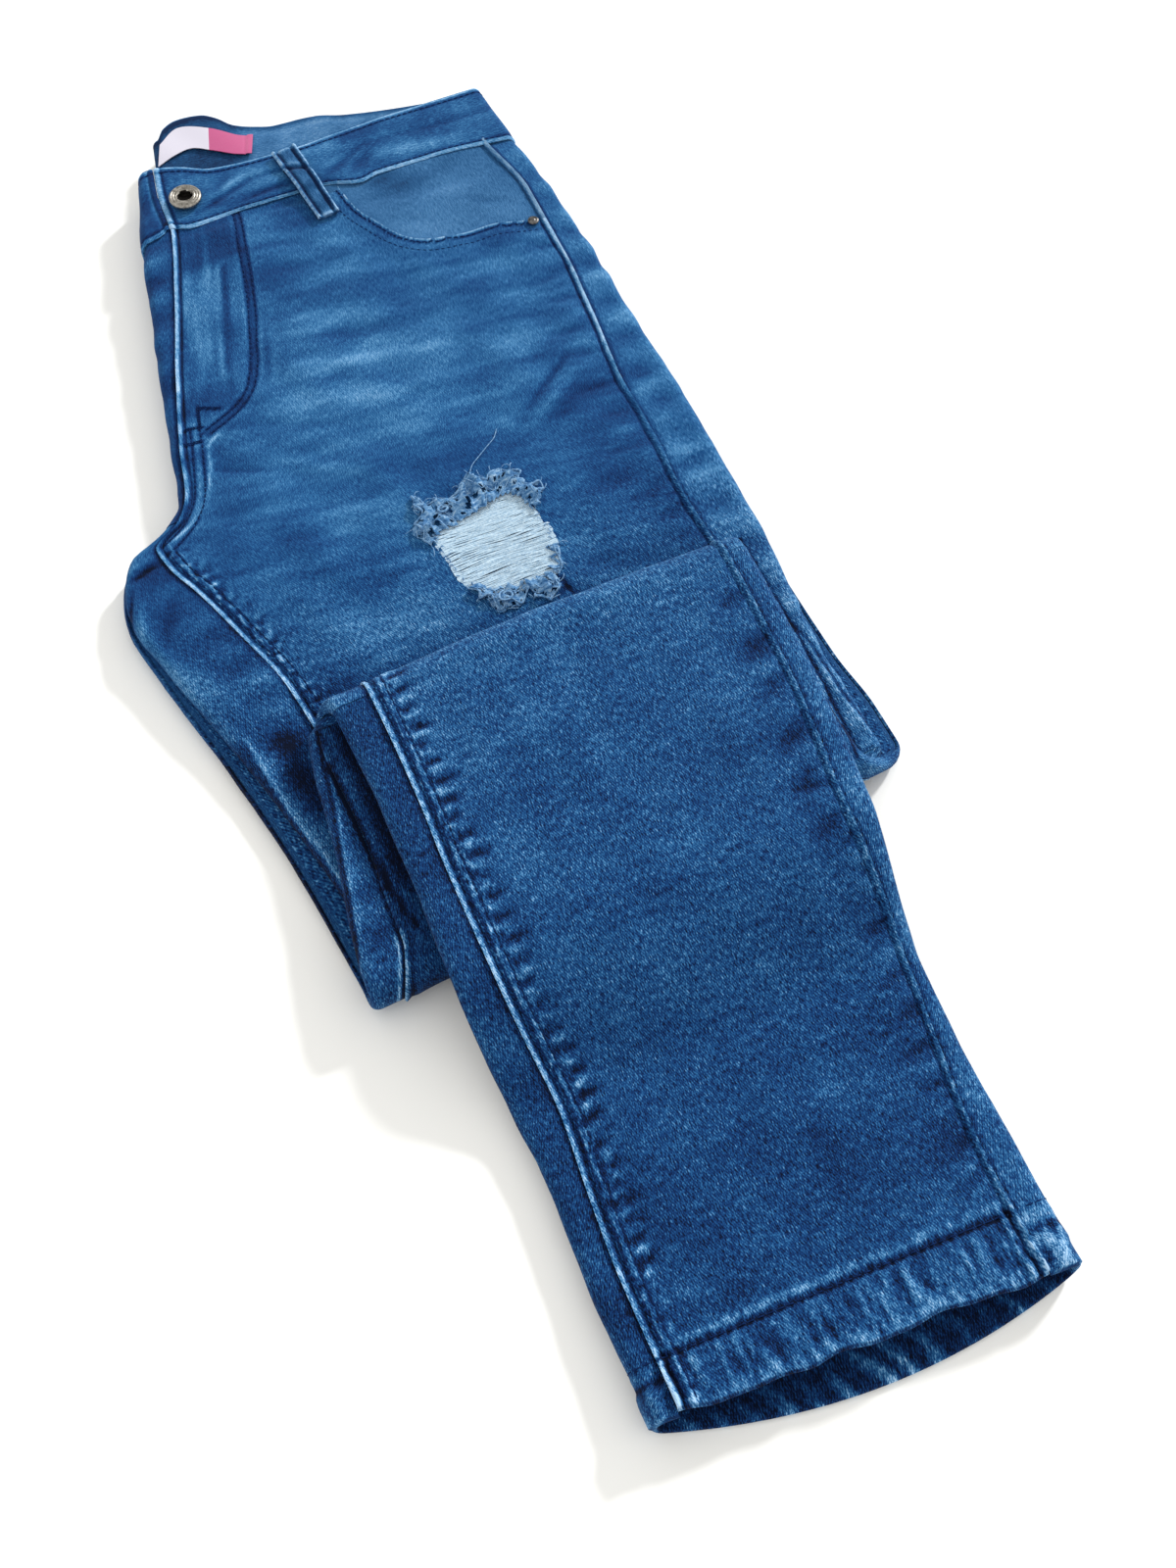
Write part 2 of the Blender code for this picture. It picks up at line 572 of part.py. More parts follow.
def build_belt_loop():
    """A folded strip over the waistband, pressed flat, with both ends turned under."""
    start, end = BELT_LOOP
    length = math.hypot(end.x - start.x, end.y - start.y)
    along = ((end.x - start.x) / length, (end.y - start.y) / length)
    side = (-along[1], along[0])
    surface = thigh_height(SKIN + 2 * GAP)
    bm = bmesh.new()
    rings = []
    for step in BELT_LOOP_STEPS:
        x = start.x + along[0] * length * step.share
        y = start.y + along[1] * length * step.share
        z = surface(x, y) + step.rise
        ring = []
        for across, height in ((-0.5, 0.0), (0.5, 0.0), (0.5, step.thick), (-0.5, step.thick)):
            offset = across * BELT_LOOP_WIDTH
            ring.append(bm.verts.new(((x + side[0] * offset) * CM, (y + side[1] * offset) * CM,
                                      (z + height) * CM)))
        rings.append(ring)
    for first, second in zip(rings, rings[1:]):
        bridge(bm, first, second)
    for ring in (rings[0], rings[-1]):
        bm.faces.new(ring)
    add_object("belt_loop", bm, DENIM)


def turned(name, at, base_z, profile, steps, colour, roughness):
    """A turned metal piece: its profile runs from the axis outwards and back to the axis."""
    bm = bmesh.new()
    verts = [bm.verts.new((r * CM, 0.0, z * CM)) for r, z in profile]
    edges = [bm.edges.new(pair) for pair in zip(verts, verts[1:])]
    bmesh.ops.spin(bm, geom=verts + edges, cent=(0, 0, 0), axis=(0, 0, 1), angle=2 * math.pi,
                   steps=steps, use_merge=True)
    bmesh.ops.remove_doubles(bm, verts=bm.verts, dist=1e-6)
    bmesh.ops.translate(bm, verts=bm.verts, vec=(at.x * CM, at.y * CM, base_z * CM))
    return add_object(name, bm, colour, roughness, 1.0, smooth=True)


def build_metal():
    surface = thigh_height(SKIN + GAP)
    button_z = surface(BUTTON_AT.x, BUTTON_AT.y) + GAP
    profile = ((0.0, 0.0), (0.55, 0.0), (0.60, 0.10), (0.82, 0.16), (0.88, 0.26), (0.80, 0.36),
               (0.62, 0.40), (0.46, 0.34), (0.40, 0.20), (0.0, 0.18))
    turned("button", BUTTON_AT, button_z, profile, 20, (0.42, 0.40, 0.37), 0.35)
    rivet_z = surface(RIVET_AT.x, RIVET_AT.y)
    profile = ((0.0, 0.0), (0.34, 0.0), (0.34, 0.05), (0.22, 0.12), (0.0, 0.14))
    turned("rivet", RIVET_AT, rivet_z, profile, 12, (0.30, 0.28, 0.26), 0.4)


def main():
    for old in list(bpy.data.objects):
        bpy.data.objects.remove(old, do_unlink=True)
    build_hidden_layers()
    build_left_leg()
    build_right_leg()
    build_waistband()
    build_rip_threads()
    build_pocket_facing()
    build_belt_loop()
    build_metal()


main()
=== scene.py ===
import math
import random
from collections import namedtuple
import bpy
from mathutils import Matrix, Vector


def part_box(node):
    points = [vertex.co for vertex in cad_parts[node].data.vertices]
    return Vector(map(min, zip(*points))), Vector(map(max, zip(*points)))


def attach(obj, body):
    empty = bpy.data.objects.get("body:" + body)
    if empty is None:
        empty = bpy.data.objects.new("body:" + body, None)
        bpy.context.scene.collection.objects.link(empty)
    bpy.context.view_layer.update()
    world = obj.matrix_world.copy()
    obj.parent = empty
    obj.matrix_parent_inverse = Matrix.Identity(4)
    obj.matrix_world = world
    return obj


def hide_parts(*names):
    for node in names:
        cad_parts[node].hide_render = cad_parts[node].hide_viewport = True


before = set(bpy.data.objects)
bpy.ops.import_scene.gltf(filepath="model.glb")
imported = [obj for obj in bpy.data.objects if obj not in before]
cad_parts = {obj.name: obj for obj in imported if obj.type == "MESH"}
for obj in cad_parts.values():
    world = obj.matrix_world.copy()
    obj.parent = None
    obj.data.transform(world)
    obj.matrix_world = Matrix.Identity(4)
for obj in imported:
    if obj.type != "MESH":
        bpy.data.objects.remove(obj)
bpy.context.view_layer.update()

# Looks of a pair of ripped stretch-denim jeans, folded for a shelf: in half lengthwise with the
# fly outside, then twice across the legs. Sizes are in centimetres until a point is placed.
# +X is the wearer's left, +Y the waist, +Z up.
#
# Every leg piece is a sheet swept along the same folded line, which follows the outer face of
# the right front panel. d is the distance along it from the waistband's seam. A section stands
# on it at each row of the tables, with x across and heights from that face.

from types import SimpleNamespace

import bpy
import numpy as np
from mathutils import Vector

CM = 0.01

# ---------------------------------------------------------------- sizes

PLY = 0.11                # one layer of denim
BAND_PLY = 0.25           # waistband with its stiffener
SKIN = 0.15               # a leg's outer face over its hidden layers
GAP = 0.03
EDGE_BULGE = 0.3          # how far a folded edge rounds outwards
EDGE_ROOM = SKIN + EDGE_BULGE

WAIST_Y = 29.0            # the leg panels end here
FOLD_1_Y, FOLD_1_RADIUS = -13.5, 1.165
FOLD_2_Y, FOLD_2_RADIUS = -2.2, 0.015
FALL_START_Y, FALL_END_Y = -15.4, -22.5
MIDDLE_X = 1.8            # skewed rows turn about this line
RIGHT_WRAP, RIGHT_WRAP_LOWER = 2.2, 0.5
RIGHT_HEM_Y = -33.9
LEG_SPLIT = 0.45          # height of the left leg's underside on the right lower leg
HEM_Y = -35.5
HEM_DEPTH = 2.35          # hem stitching to hem edge
HEM_ROUND = 0.13          # radius of the hem's folded edge

Section = namedtuple("Section", "y left_in right_in seam_in seam_out left_out right_out "
                                "thick crown skew")


def sections(*rows):
    return [Section(*row) for row in rows]


BAND = sections(
    (34.4, -6.1, -6.1, -5.30, 11.9, 13.0, 13.0, 2.15, 0.05, 0.0),
    (33.4, -6.35, -6.35, -5.45, 11.9, 13.1, 13.1, 2.15, 0.05, 0.0),
    (31.2, -7.05, -7.05, -5.8, 11.9, 13.3, 13.3, 2.10, 0.05, 0.0),
    (29.0, -7.7, -7.7, -5.9, 11.9, 13.5, 13.5, 2.05, 0.05, 0.0),
    (28.0, -7.9, -7.9, -6.2, 11.9, 13.6, 13.6, 2.02, 0.05, 0.0),
)
THIGH = sections(
    (30.2, -7.4, -7.4, -5.75, 11.7, 13.4, 13.4, 2.04, 0.05, 0.0),
    (WAIST_Y, -7.7, -7.7, -6.0, 11.9, 13.5, 13.5, 2.00, 0.05, 0.0),
    (25.0, -8.5, -8.5, -7.1, 12.7, 14.0, 14.1, 1.85, 0.10, 0.0),
    (20.0, -9.5, -9.5, -8.6, 12.7, 14.3, 14.4, 1.70, 0.15, 0.0),
    (15.5, -10.3, -10.3, -9.8, 12.4, 14.4, 14.3, 1.60, 0.20, 0.0),
    (12.6, -10.9, -10.9, -10.45, 12.1, 14.5, 14.4, 1.55, 0.20, 0.0),
    (11.4, -11.9, -12.0, -11.2, 12.0, 14.6, 14.5, 1.55, 0.20, 0.0),
    (10.3, -13.9, -14.1, -12.6, 12.0, 14.6, 14.5, 1.50, 0.20, 0.0),
    (9.0, -14.6, -14.8, -12.35, 12.0, 14.6, 14.5, 1.50, 0.20, 0.0),
    (7.0, -14.9, -15.15, -11.5, 12.0, 14.6, 14.5, 1.50, 0.20, 0.0),
    (4.0, -14.2, -14.6, -10.4, 11.8, 14.6, 14.5, 1.45, 0.20, 0.0),
    (1.0, -13.3, -13.9, -9.4, 12.0, 14.6, 14.5, 1.35, 0.10, 0.0),
    (-1.3, -12.6, -13.3, -9.0, 12.2, 14.5, 14.5, 1.20, 0.0, 0.0),
    (-7.5, -11.0, -12.0, -8.2, 12.4, 14.1, 14.7, 1.18, 0.0, 0.025),
    (-11.0, -10.4, -11.5, -7.8, 12.4, 14.2, 15.1, 1.15, 0.0, 0.05),
    (FOLD_1_Y, -10.4, -11.2, -7.6, 12.3, 14.2, 15.15, 1.15, 0.0, 0.07),
)
MIDDLE = sections(
    (FOLD_1_Y, -10.6, -11.1, -7.4, 11.6, 12.3, 12.7, 1.15, 0.0, 0.07),
    (-8.0, -9.9, -10.2, -6.9, 11.4, 12.3, 12.6, 1.12, 0.0, 0.04),
    (FOLD_2_Y, -9.1, -9.4, -6.6, 11.3, 12.4, 12.5, 1.10, 0.0, 0.04),
)
LOWER = sections(
    (FOLD_2_Y, -8.1, -7.6, -6.3, 11.45, 12.5, 12.2, 1.15, 0.0, 0.04),
    (-8.0, -7.8, -7.2, -6.2, 11.3, 12.4, 12.0, 1.15, 0.05, 0.0),
    (-12.0, -7.8, -7.2, -6.3, 10.9, 12.0, 11.5, 1.15, 0.05, 0.0),
    (FALL_START_Y, -7.9, -7.3, -6.3, 10.42, 11.6, 11.1, 1.15, 0.05, 0.0),
    (-19.0, -8.0, -7.4, -6.3, 10.12, 10.9, 10.4, 1.18, 0.10, 0.0),
    (FALL_END_Y, -7.9, -7.2, -6.2, 9.75, 10.4, 9.9, 1.20, 0.10, 0.0),
    (-26.0, -7.5, -6.9, -6.2, 9.4, 10.3, 9.8, 1.25, 0.10, 0.0),
    (-30.0, -7.5, -6.9, -6.3, 9.0, 10.4, 9.9, 1.35, 0.10, 0.0),
    (RIGHT_HEM_Y, -7.4, -6.8, -6.3, 8.8, 10.3, 9.8, 1.60, 0.10, -0.04),
    (-34.9, -7.4, -6.8, -6.3, 8.8, 10.3, 9.8, 1.70, 0.05, -0.06),
    (HEM_Y, -7.4, -6.8, -6.3, 8.8, 10.3, 9.8, 1.70, 0.05, -0.065),
)
HEM_BOW_Y, HEM_BOW = (HEM_Y, -34.9, RIGHT_HEM_Y), (1.4, 0.7, 0.0)   # the hem's back lies further out

Point = namedtuple("Point", "x y")


def trace(*places):
    """The places that a line goes through, in x and y."""
    return [Point(*place) for place in places]


BACK_BAND = trace(
    (-4.4, 36.9), (-4.0, 37.45), (-3.2, 37.75), (-1.8, 37.5), (-1.05, 36.95), (-0.4, 36.15), (0.7, 35.65),
    (1.8, 35.4), (3.0, 35.4), (4.1, 35.3), (5.5, 34.8), (8.0, 34.2), (12.2, 33.5))
BACK_BAND_UPPER_Z, BACK_BAND_LOWER_Z = 1.3, 0.64
BACK_BAND_HEIGHT = 5.0

RIP_MIDDLE = Point(2.3, 3.9)
POCKET_OPENING = trace(
    (3.3, 29.5), (3.45, 28.05), (3.75, 26.95), (4.3, 25.9), (4.9, 24.9), (5.6, 24.15), (6.7, 23.6),
    (8.35, 23.4), (10.1, 23.35), (11.8, 22.95), (13.0, 22.6))
RIVET_AT, BUTTON_AT = Point(12.0, 22.75), Point(-4.5, 31.25)
BELT_LOOP = (Point(1.42, 32.5), Point(2.12, 27.15))


# ---------------------------------------------------------------- the folded line

FOLD_LENGTH = math.pi * FOLD_1_RADIUS / 2
FOLD_1_AT = WAIST_Y - FOLD_1_Y
MIDDLE_AT = FOLD_1_AT + FOLD_LENGTH
FOLD_2_AT = MIDDLE_AT + FOLD_2_Y - FOLD_1_Y
LOWER_AT = FOLD_2_AT + FOLD_LENGTH
HEM_AT = LOWER_AT + FOLD_2_Y - HEM_Y
RIGHT_HEM_AT = LOWER_AT + FOLD_2_Y - RIGHT_HEM_Y

ROWS = THIGH + MIDDLE + LOWER
ROW_AT = ([WAIST_Y - s.y for s in THIGH] + [MIDDLE_AT + s.y - FOLD_1_Y for s in MIDDLE]
          + [LOWER_AT + FOLD_2_Y - s.y for s in LOWER])
BAND_AT = [WAIST_Y - s.y for s in BAND]


def smooth(knots, values, at):
    """Smooth values between a table's rows, without overshoot (monotone cubic)."""
    knots, values = np.asarray(knots, float), np.asarray(values, float)
    step = np.diff(knots)
    slope = np.diff(values) / step
    tangent = np.concatenate([slope[:1], np.zeros(len(step) - 1), slope[-1:]])
    for i in range(1, len(step)):
        if slope[i - 1] * slope[i] > 0:
            first, second = 2 * step[i] + step[i - 1], step[i] + 2 * step[i - 1]
            tangent[i] = (first + second) / (first / slope[i - 1] + second / slope[i])
    i = np.clip(np.searchsorted(knots, at, side="right") - 1, 0, len(step) - 1)
    t = np.clip((at - knots[i]) / step[i], 0.0, 1.0)
    return (values[i] * (2 * t ** 3 - 3 * t ** 2 + 1) + values[i + 1] * (3 * t ** 2 - 2 * t ** 3)
            + step[i] * (tangent[i] * (t ** 3 - 2 * t ** 2 + t) + tangent[i + 1] * (t ** 3 - t ** 2)))


def ease(t):
    t = np.clip(t, 0.0, 1.0)
    return t * t * (3 - 2 * t)


def fall_height(y):
    """The lower legs' underside: on the pile, sliding off it, then on the surface."""
    return 2 * (FOLD_1_RADIUS + FOLD_2_RADIUS) * ease((y - FALL_END_Y) / (FALL_START_Y - FALL_END_Y))


def stations(d, rows=ROWS, knots=ROW_AT):
    """Sections at distances d along the folded line, every value a column."""
    d = np.asarray(d, float)
    s = SimpleNamespace(d=d[:, None])
    for name in Section._fields[1:]:
        setattr(s, name, smooth(knots, [getattr(r, name) for r in rows], d)[:, None])
    top = 2 * FOLD_1_RADIUS
    turn_1 = math.pi * (d - FOLD_1_AT) / FOLD_LENGTH
    turn_2 = math.pi * (1 - (d - FOLD_2_AT) / FOLD_LENGTH)
    low_y = FOLD_2_Y - (d - LOWER_AT)
    low_slope = (fall_height(low_y + 0.1) - fall_height(low_y - 0.1)) / 0.2
    where = [d < FOLD_1_AT, d < MIDDLE_AT, d < FOLD_2_AT, d < LOWER_AT]
    y = np.select(where, [WAIST_Y - d, FOLD_1_Y - FOLD_1_RADIUS * np.sin(turn_1),
                          FOLD_1_Y + d - MIDDLE_AT, FOLD_2_Y + FOLD_2_RADIUS * np.sin(turn_2)], low_y)
    z = np.select(where, [0 * d, FOLD_1_RADIUS * (1 - np.cos(turn_1)), 0 * d + top,
                          top + FOLD_2_RADIUS * (1 + np.cos(turn_2))], fall_height(low_y))
    turn = np.select(where, [0 * d, turn_1, 0 * d + math.pi, turn_2], -np.arctan(low_slope))
    s.y, s.z, s.turn = y[:, None], z[:, None], turn[:, None]
    lower = ease((s.d - FOLD_2_AT) / FOLD_LENGTH)
    s.split = s.thick / 2 * (1 - lower) + LEG_SPLIT * lower * (1 - ease(s.d - RIGHT_HEM_AT))
    narrowing = np.clip((s.d - MIDDLE_AT) / (FOLD_2_AT - MIDDLE_AT), 0, 1)
    s.wrap = RIGHT_WRAP + (RIGHT_WRAP_LOWER - RIGHT_WRAP) * narrowing
    s.wrap = s.wrap - 0.75 * np.exp(-((s.d - FOLD_1_AT - 0.45 * FOLD_LENGTH) / 0.9) ** 2)
    return s


def place(s, x, height, bow=0.0):
    """Section points in the part's frame, in metres."""
    across = (2 * x - s.left_in - s.left_out) / (s.left_out - s.left_in)
    y = s.y + s.skew * (x - MIDDLE_X) + height * np.sin(s.turn) - bow * np.maximum(0, 1 - across ** 2)
    z = s.z + height * np.cos(s.turn)
    return np.stack([x + 0 * y, y, z], axis=-1) * CM


# ---------------------------------------------------------------- section lines

def spread(start, end, count):
    return start + (end - start) * np.linspace(0, 1, count)[None, :]


def edge_x(s, leg, side):
    x = getattr(s, f"{leg}_{side}")
    return x + EDGE_ROOM if side == "in" else x - EDGE_ROOM


def left_face(s, x, lift):
    start, end = edge_x(s, "left", "in"), edge_x(s, "left", "out")
    across = (2 * x - start - end) / (end - start)
    return x, s.thick - SKIN + lift + s.crown * np.maximum(0, 1 - across ** 2)


def right_face(x, lift):
    return x, SKIN - lift + 0 * x


def edge_arc(s, leg, side, lift, start, end, count=9):
    """Points round a leg's folded edge, from one angle to another; 90 degrees is the top."""
    slit = 0.01
    low, high = (s.split + slit, s.thick - SKIN) if leg == "left" else (SKIN, s.split - slit)
    sign = -1 if side == "in" else 1
    a = np.radians(spread(start, end, count))
    radius = (high - low) / 2
    return (edge_x(s, leg, side) + sign * (EDGE_BULGE + lift) * np.cos(a),
            (low + high) / 2 + (radius + lift) * np.sin(a))


def edge_limit(s, leg, lift):
    """The angle at which a leg's folded edge reaches the other leg."""
    low, high = (s.split, s.thick - SKIN) if leg == "left" else (SKIN, s.split)
    radius = (high - low) / 2
    return np.degrees(np.arcsin(np.minimum(1.0, (radius - GAP / 2) / (radius + lift))))


def line(*parts):
    """Joins stretches of a section's line."""
    return (np.concatenate([p[0] + 0 * p[1] for p in parts], axis=1),
            np.concatenate([p[1] + 0 * p[0] for p in parts], axis=1))


def left_front_line(s, lift):
    return left_face(s, spread(s.seam_in + GAP / 2, s.seam_out - GAP / 2, 60), lift)


def left_back_line(side):
    """The left back panel beside the front panel and round the leg's edge."""
    def path(s, lift):
        seam = s.seam_in - GAP / 2 if side == "in" else s.seam_out + GAP / 2
        beside = left_face(s, spread(seam, edge_x(s, "left", side), 12), lift)
        limit = edge_limit(s, "left", lift)
        return line(beside, edge_arc(s, "left", side, lift, 84, -limit, 12))
    return path


def left_tube_line(s, lift):
    """The left leg's back and both its edges below fold 2."""
    inset = SKIN - lift
    low, high = s.split + inset, s.thick - inset
    radius = (high - low) / 2
    start, end = edge_x(s, "left", "in"), edge_x(s, "left", "out")
    a = np.radians(np.linspace(84, -84, 11))[None, :]
    inner = (start - (EDGE_BULGE + lift) * np.cos(a), (low + high) / 2 + radius * np.sin(a))
    outer = (end + (EDGE_BULGE + lift) * np.cos(-a), (low + high) / 2 + radius * np.sin(-a))
    under_x = spread(start, end, 30)
    return line(left_face(s, spread(s.seam_in - GAP / 2, start, 6), lift), inner,
                (under_x, low + 0 * under_x), outer,
                left_face(s, spread(end, s.seam_out + GAP / 2, 6), lift))


def right_front_line(s, lift):
    return right_face(spread(s.right_in + s.wrap, s.right_out - s.wrap, 30), lift)


def right_back_line(side):
    def path(s, lift):
        seam = s.right_in + s.wrap - GAP if side == "in" else s.right_out - s.wrap + GAP
        beside = right_face(spread(seam, edge_x(s, "right", side), 12), lift)
        limit = edge_limit(s, "right", lift)
        return line(beside, edge_arc(s, "right", side, lift, -84, limit, 12))
    return path


def right_fly_line(s, lift):
    """The right front panel round the centre-front edge, next to the fly."""
    beside = left_face(s, spread(s.seam_in - GAP / 2, edge_x(s, "left", "in"), 8), lift)
    under = right_face(spread(edge_x(s, "right", "in"), s.right_in + s.wrap - GAP, 6), lift)
    return line(beside, edge_arc(s, "left", "in", lift, 84, 0), edge_arc(s, "right", "in", lift, 0, -84),
                under)


def right_lower_back_line(s, lift):
    """The hidden right lower leg: its back panel, flat on its front panel, with rounded edges."""
    rise = LEG_SPLIT - GAP - SKIN
    a = np.radians(np.linspace(0, 90, 7))[None, :]
    left = (s.right_in + 0.45 - 0.3 * np.cos(a), SKIN + rise * np.sin(a) + 0 * s.thick)
    right = (s.right_out - 0.45 + 0.3 * np.cos(a[:, ::-1]), SKIN + rise * np.sin(a[:, ::-1]) + 0 * s.thick)
    top = spread(s.right_in + 0.55, s.right_out - 0.55, 20)
    x, h = line(left, (top, SKIN + rise + 0 * top), right)
    return x, h + lift - SKIN


def left_band_line(s, lift):
    face = left_face(s, spread(s.seam_in, edge_x(s, "left", "out"), 50), lift)
    return line(face, edge_arc(s, "left", "out", lift, 84, -edge_limit(s, "left", lift), 12))


def right_band_line(s, lift):
    beside = left_face(s, spread(s.seam_in - GAP, edge_x(s, "left", "in"), 6), lift)
    under = right_face(spread(edge_x(s, "right", "in"), edge_x(s, "right", "out"), 30), lift)
    return line(beside, edge_arc(s, "left", "in", lift, 84, 0), edge_arc(s, "right", "in", lift, 0, -84),
                under, edge_arc(s, "right", "out", lift, -84, edge_limit(s, "right", lift)))


def core_line(s):
    """The hidden layers of both legs, all round, grooved between the legs and between plies."""
    face = left_face(s, spread(edge_x(s, "left", "in"), edge_x(s, "left", "out"), 20), 0.0)
    under = right_face(spread(edge_x(s, "right", "out"), edge_x(s, "right", "in"), 12), 0.0)
    return line(face, edge_arc(s, "left", "out", 0, 80, -90), edge_arc(s, "right", "out", 0, 90, -80),
                under, edge_arc(s, "right", "in", 0, -80, 90), edge_arc(s, "left", "in", 0, -90, 80))


# ---------------------------------------------------------------- sheets

class Cloth:
    """A grid of points, rows along the leg and columns across it. side is the distance from the
    first column and run the distance along the rows, both in centimetres."""

    def __init__(self, d, x, points, outside, face_row=0):
        self.d, self.x, self.points = d, x, points
        toward = ((outside - points)[face_row] * self.cross()[face_row]).sum()
        self.flip = bool(toward < 0)
        self.measure()
        self.wear = np.zeros(x.shape)
        self.keep = None
        self.face_rows = slice(0, len(d))

    def cross(self):
        along, across = np.gradient(self.points, axis=0), np.gradient(self.points, axis=1)
        normal = np.cross(across, along)
        size = np.linalg.norm(normal, axis=-1, keepdims=True)
        return normal / np.maximum(size, 1e-12)

    def measure(self):
        self.normal = self.cross() * (-1 if self.flip else 1)
        step = np.linalg.norm(np.diff(self.points, axis=1), axis=-1) / CM
        self.side = np.concatenate([np.zeros((len(step), 1)), np.cumsum(step, axis=1)], axis=1)
        step = np.linalg.norm(np.diff(self.points, axis=0), axis=-1).mean(axis=1) / CM
        self.run = np.concatenate([[0.0], np.cumsum(step)])[:, None] + 0 * self.x

    @property
    def far(self):
        """Distance from the last column."""
        return self.side[:, -1:] - self.side

    @property
    def down(self):
        """The rows' distances along the folded line, as a column."""
        return self.d[:, None]

    @property
    def up(self):
        """Distance from the outer face's last row."""
        return np.abs(self.run - self.run[self.face_rows][-1])

    @property
    def face(self):
        """1 on the rows of the outer face, 0 on those turned under."""
        face = np.zeros((len(self.d), 1))
        face[self.face_rows] = 1.0
        return face

    @property
    def px(self):
        return self.points[..., 0] / CM

    @property
    def py(self):
        return self.points[..., 1] / CM

    def shape(self, height, wear=0.0):
        """Raises the cloth by a height, in centimetres, and adds to its tone: worn places, painted shade and
        painted highlights.
        """
        self.points = self.points + self.normal * (height * CM)[..., None]
        self.wear = self.wear + wear
        self.normal = self.cross() * (-1 if self.flip else 1)

    def at(self, d, value, by="x"):
        """A point and its normal on the finished sheet."""
        first = self.face_rows.start
        row = first + float(np.interp(d, self.d[self.face_rows], np.arange(len(self.d[self.face_rows]))))
        low = min(int(row), first + len(self.d[self.face_rows]) - 2)
        found = []
        grid = {"x": self.x, "side": self.side, "far": self.far}[by]
        for i in (low, low + 1):
            columns = np.arange(grid.shape[1])
            order = slice(None, None, -1) if by == "far" else slice(None)
            col = float(np.interp(value, grid[i][order], columns[order]))
            j = min(int(col), grid.shape[1] - 2)
            both = np.concatenate([self.points[i], self.normal[i]], axis=1)
            found.append(both[j] + (both[j + 1] - both[j]) * (col - j))
        mixed = found[0] + (found[1] - found[0]) * (row - low)
        return mixed[:3], mixed[3:] / np.linalg.norm(mixed[3:])

    def trim(self, outline):
        """Cuts away what lies inside an outline in x and y, and pulls the edge onto it."""
        outline = np.asarray(outline, float)
        px, py = self.px, self.py
        inside = inside_outline(px, py, outline)
        corners = [inside[:-1, :-1], inside[:-1, 1:], inside[1:, 1:], inside[1:, :-1]]
        keep = sum(c.astype(int) for c in corners) < 2
        keep |= self.d[:-1, None] >= FOLD_1_AT
        self.keep = keep if self.keep is None else self.keep & keep
        touched = np.zeros(px.shape, int)
        for di, dj in ((0, 0), (0, 1), (1, 1), (1, 0)):
            touched[di:di + keep.shape[0], dj:dj + keep.shape[1]] += np.where(keep, 1, 100)
        edge = (touched > 100) & (touched % 100 > 0) & (self.d[:, None] < FOLD_1_AT)
        snapped = nearest_on_outline(np.stack([px[edge], py[edge]], axis=1), outline)
        self.points[edge, 0], self.points[edge, 1] = snapped[:, 0] * CM, snapped[:, 1] * CM


def evened(x, h, shares):
    """Every row's points moved along its line, to the given shares of its length."""
    even_x, even_h = np.empty((len(x), len(shares))), np.empty((len(x), len(shares)))
    for i in range(len(x)):
        length = np.concatenate([[0.0], np.cumsum(np.hypot(np.diff(x[i]), np.diff(h[i])))])
        even_x[i] = np.interp(shares * length[-1], length, x[i])
        even_h[i] = np.interp(shares * length[-1], length, h[i])
    return even_x, even_h


def shares(width, coarse, fine=None, near=1.0, ends="both"):
    """Where the columns lie, from 0 to 1; with fine, they are close together near the seams."""
    if fine is None:
        return np.linspace(0, 1, round(width / coarse) + 1)
    close = np.arange(round(near / fine)) * fine
    start = close if ends in ("both", "start") else close[:0]
    end = width - close[::-1] if ends in ("both", "end") else close[:0]
    low, high = near * (len(start) > 0), width - near * (len(end) > 0)
    middle = np.linspace(low, high, round((high - low) / coarse) + 1)
    return np.concatenate([start, middle, end]) / width


def swept(d, path, columns, lift=SKIN, drop=None, reach=None, bow=None, rows=ROWS, knots=ROW_AT,
          face=None):
    """A sheet along the folded line. face is the slice of rows on its outer side."""
    d = np.asarray(d, float)
    face = slice(0, len(d)) if face is None else face
    s = stations(d, rows, knots)
    if drop is not None:
        lift = lift - drop[:, None]
    if reach is not None:
        s.y = s.y - reach[:, None]
    x, h = evened(*path(s, lift), columns)
    above_x, above_h = evened(*path(s, lift + 0.05), columns)
    shift = 0.0 if bow is None else bow(s, h)
    cloth = Cloth(d, x, place(s, x, h, shift), place(s, above_x, above_h, shift), face.start)
    cloth.face_rows = face
    return cloth


def inside_outline(px, py, outline):
    inside = np.zeros(px.shape, bool)
    for (x0, y0), (x1, y1) in zip(outline, np.roll(outline, -1, axis=0)):
        crosses = (y0 > py) != (y1 > py)
        with np.errstate(divide="ignore", invalid="ignore"):
            at_x = (x1 - x0) * (py - y0) / (y1 - y0) + x0
        inside ^= crosses & (px < at_x)
    return inside


def nearest_on_outline(points, outline):
    best = np.full(len(points), 1e9)
    found = points.copy()
    for a, b in zip(outline, np.roll(outline, -1, axis=0)):
        t = np.clip(((points - a) @ (b - a)) / max(1e-12, (b - a) @ (b - a)), 0, 1)
        spot = a + t[:, None] * (b - a)
        away = np.linalg.norm(points - spot, axis=1)
        closer = away < best
        best[closer], found[closer] = away[closer], spot[closer]
    return found


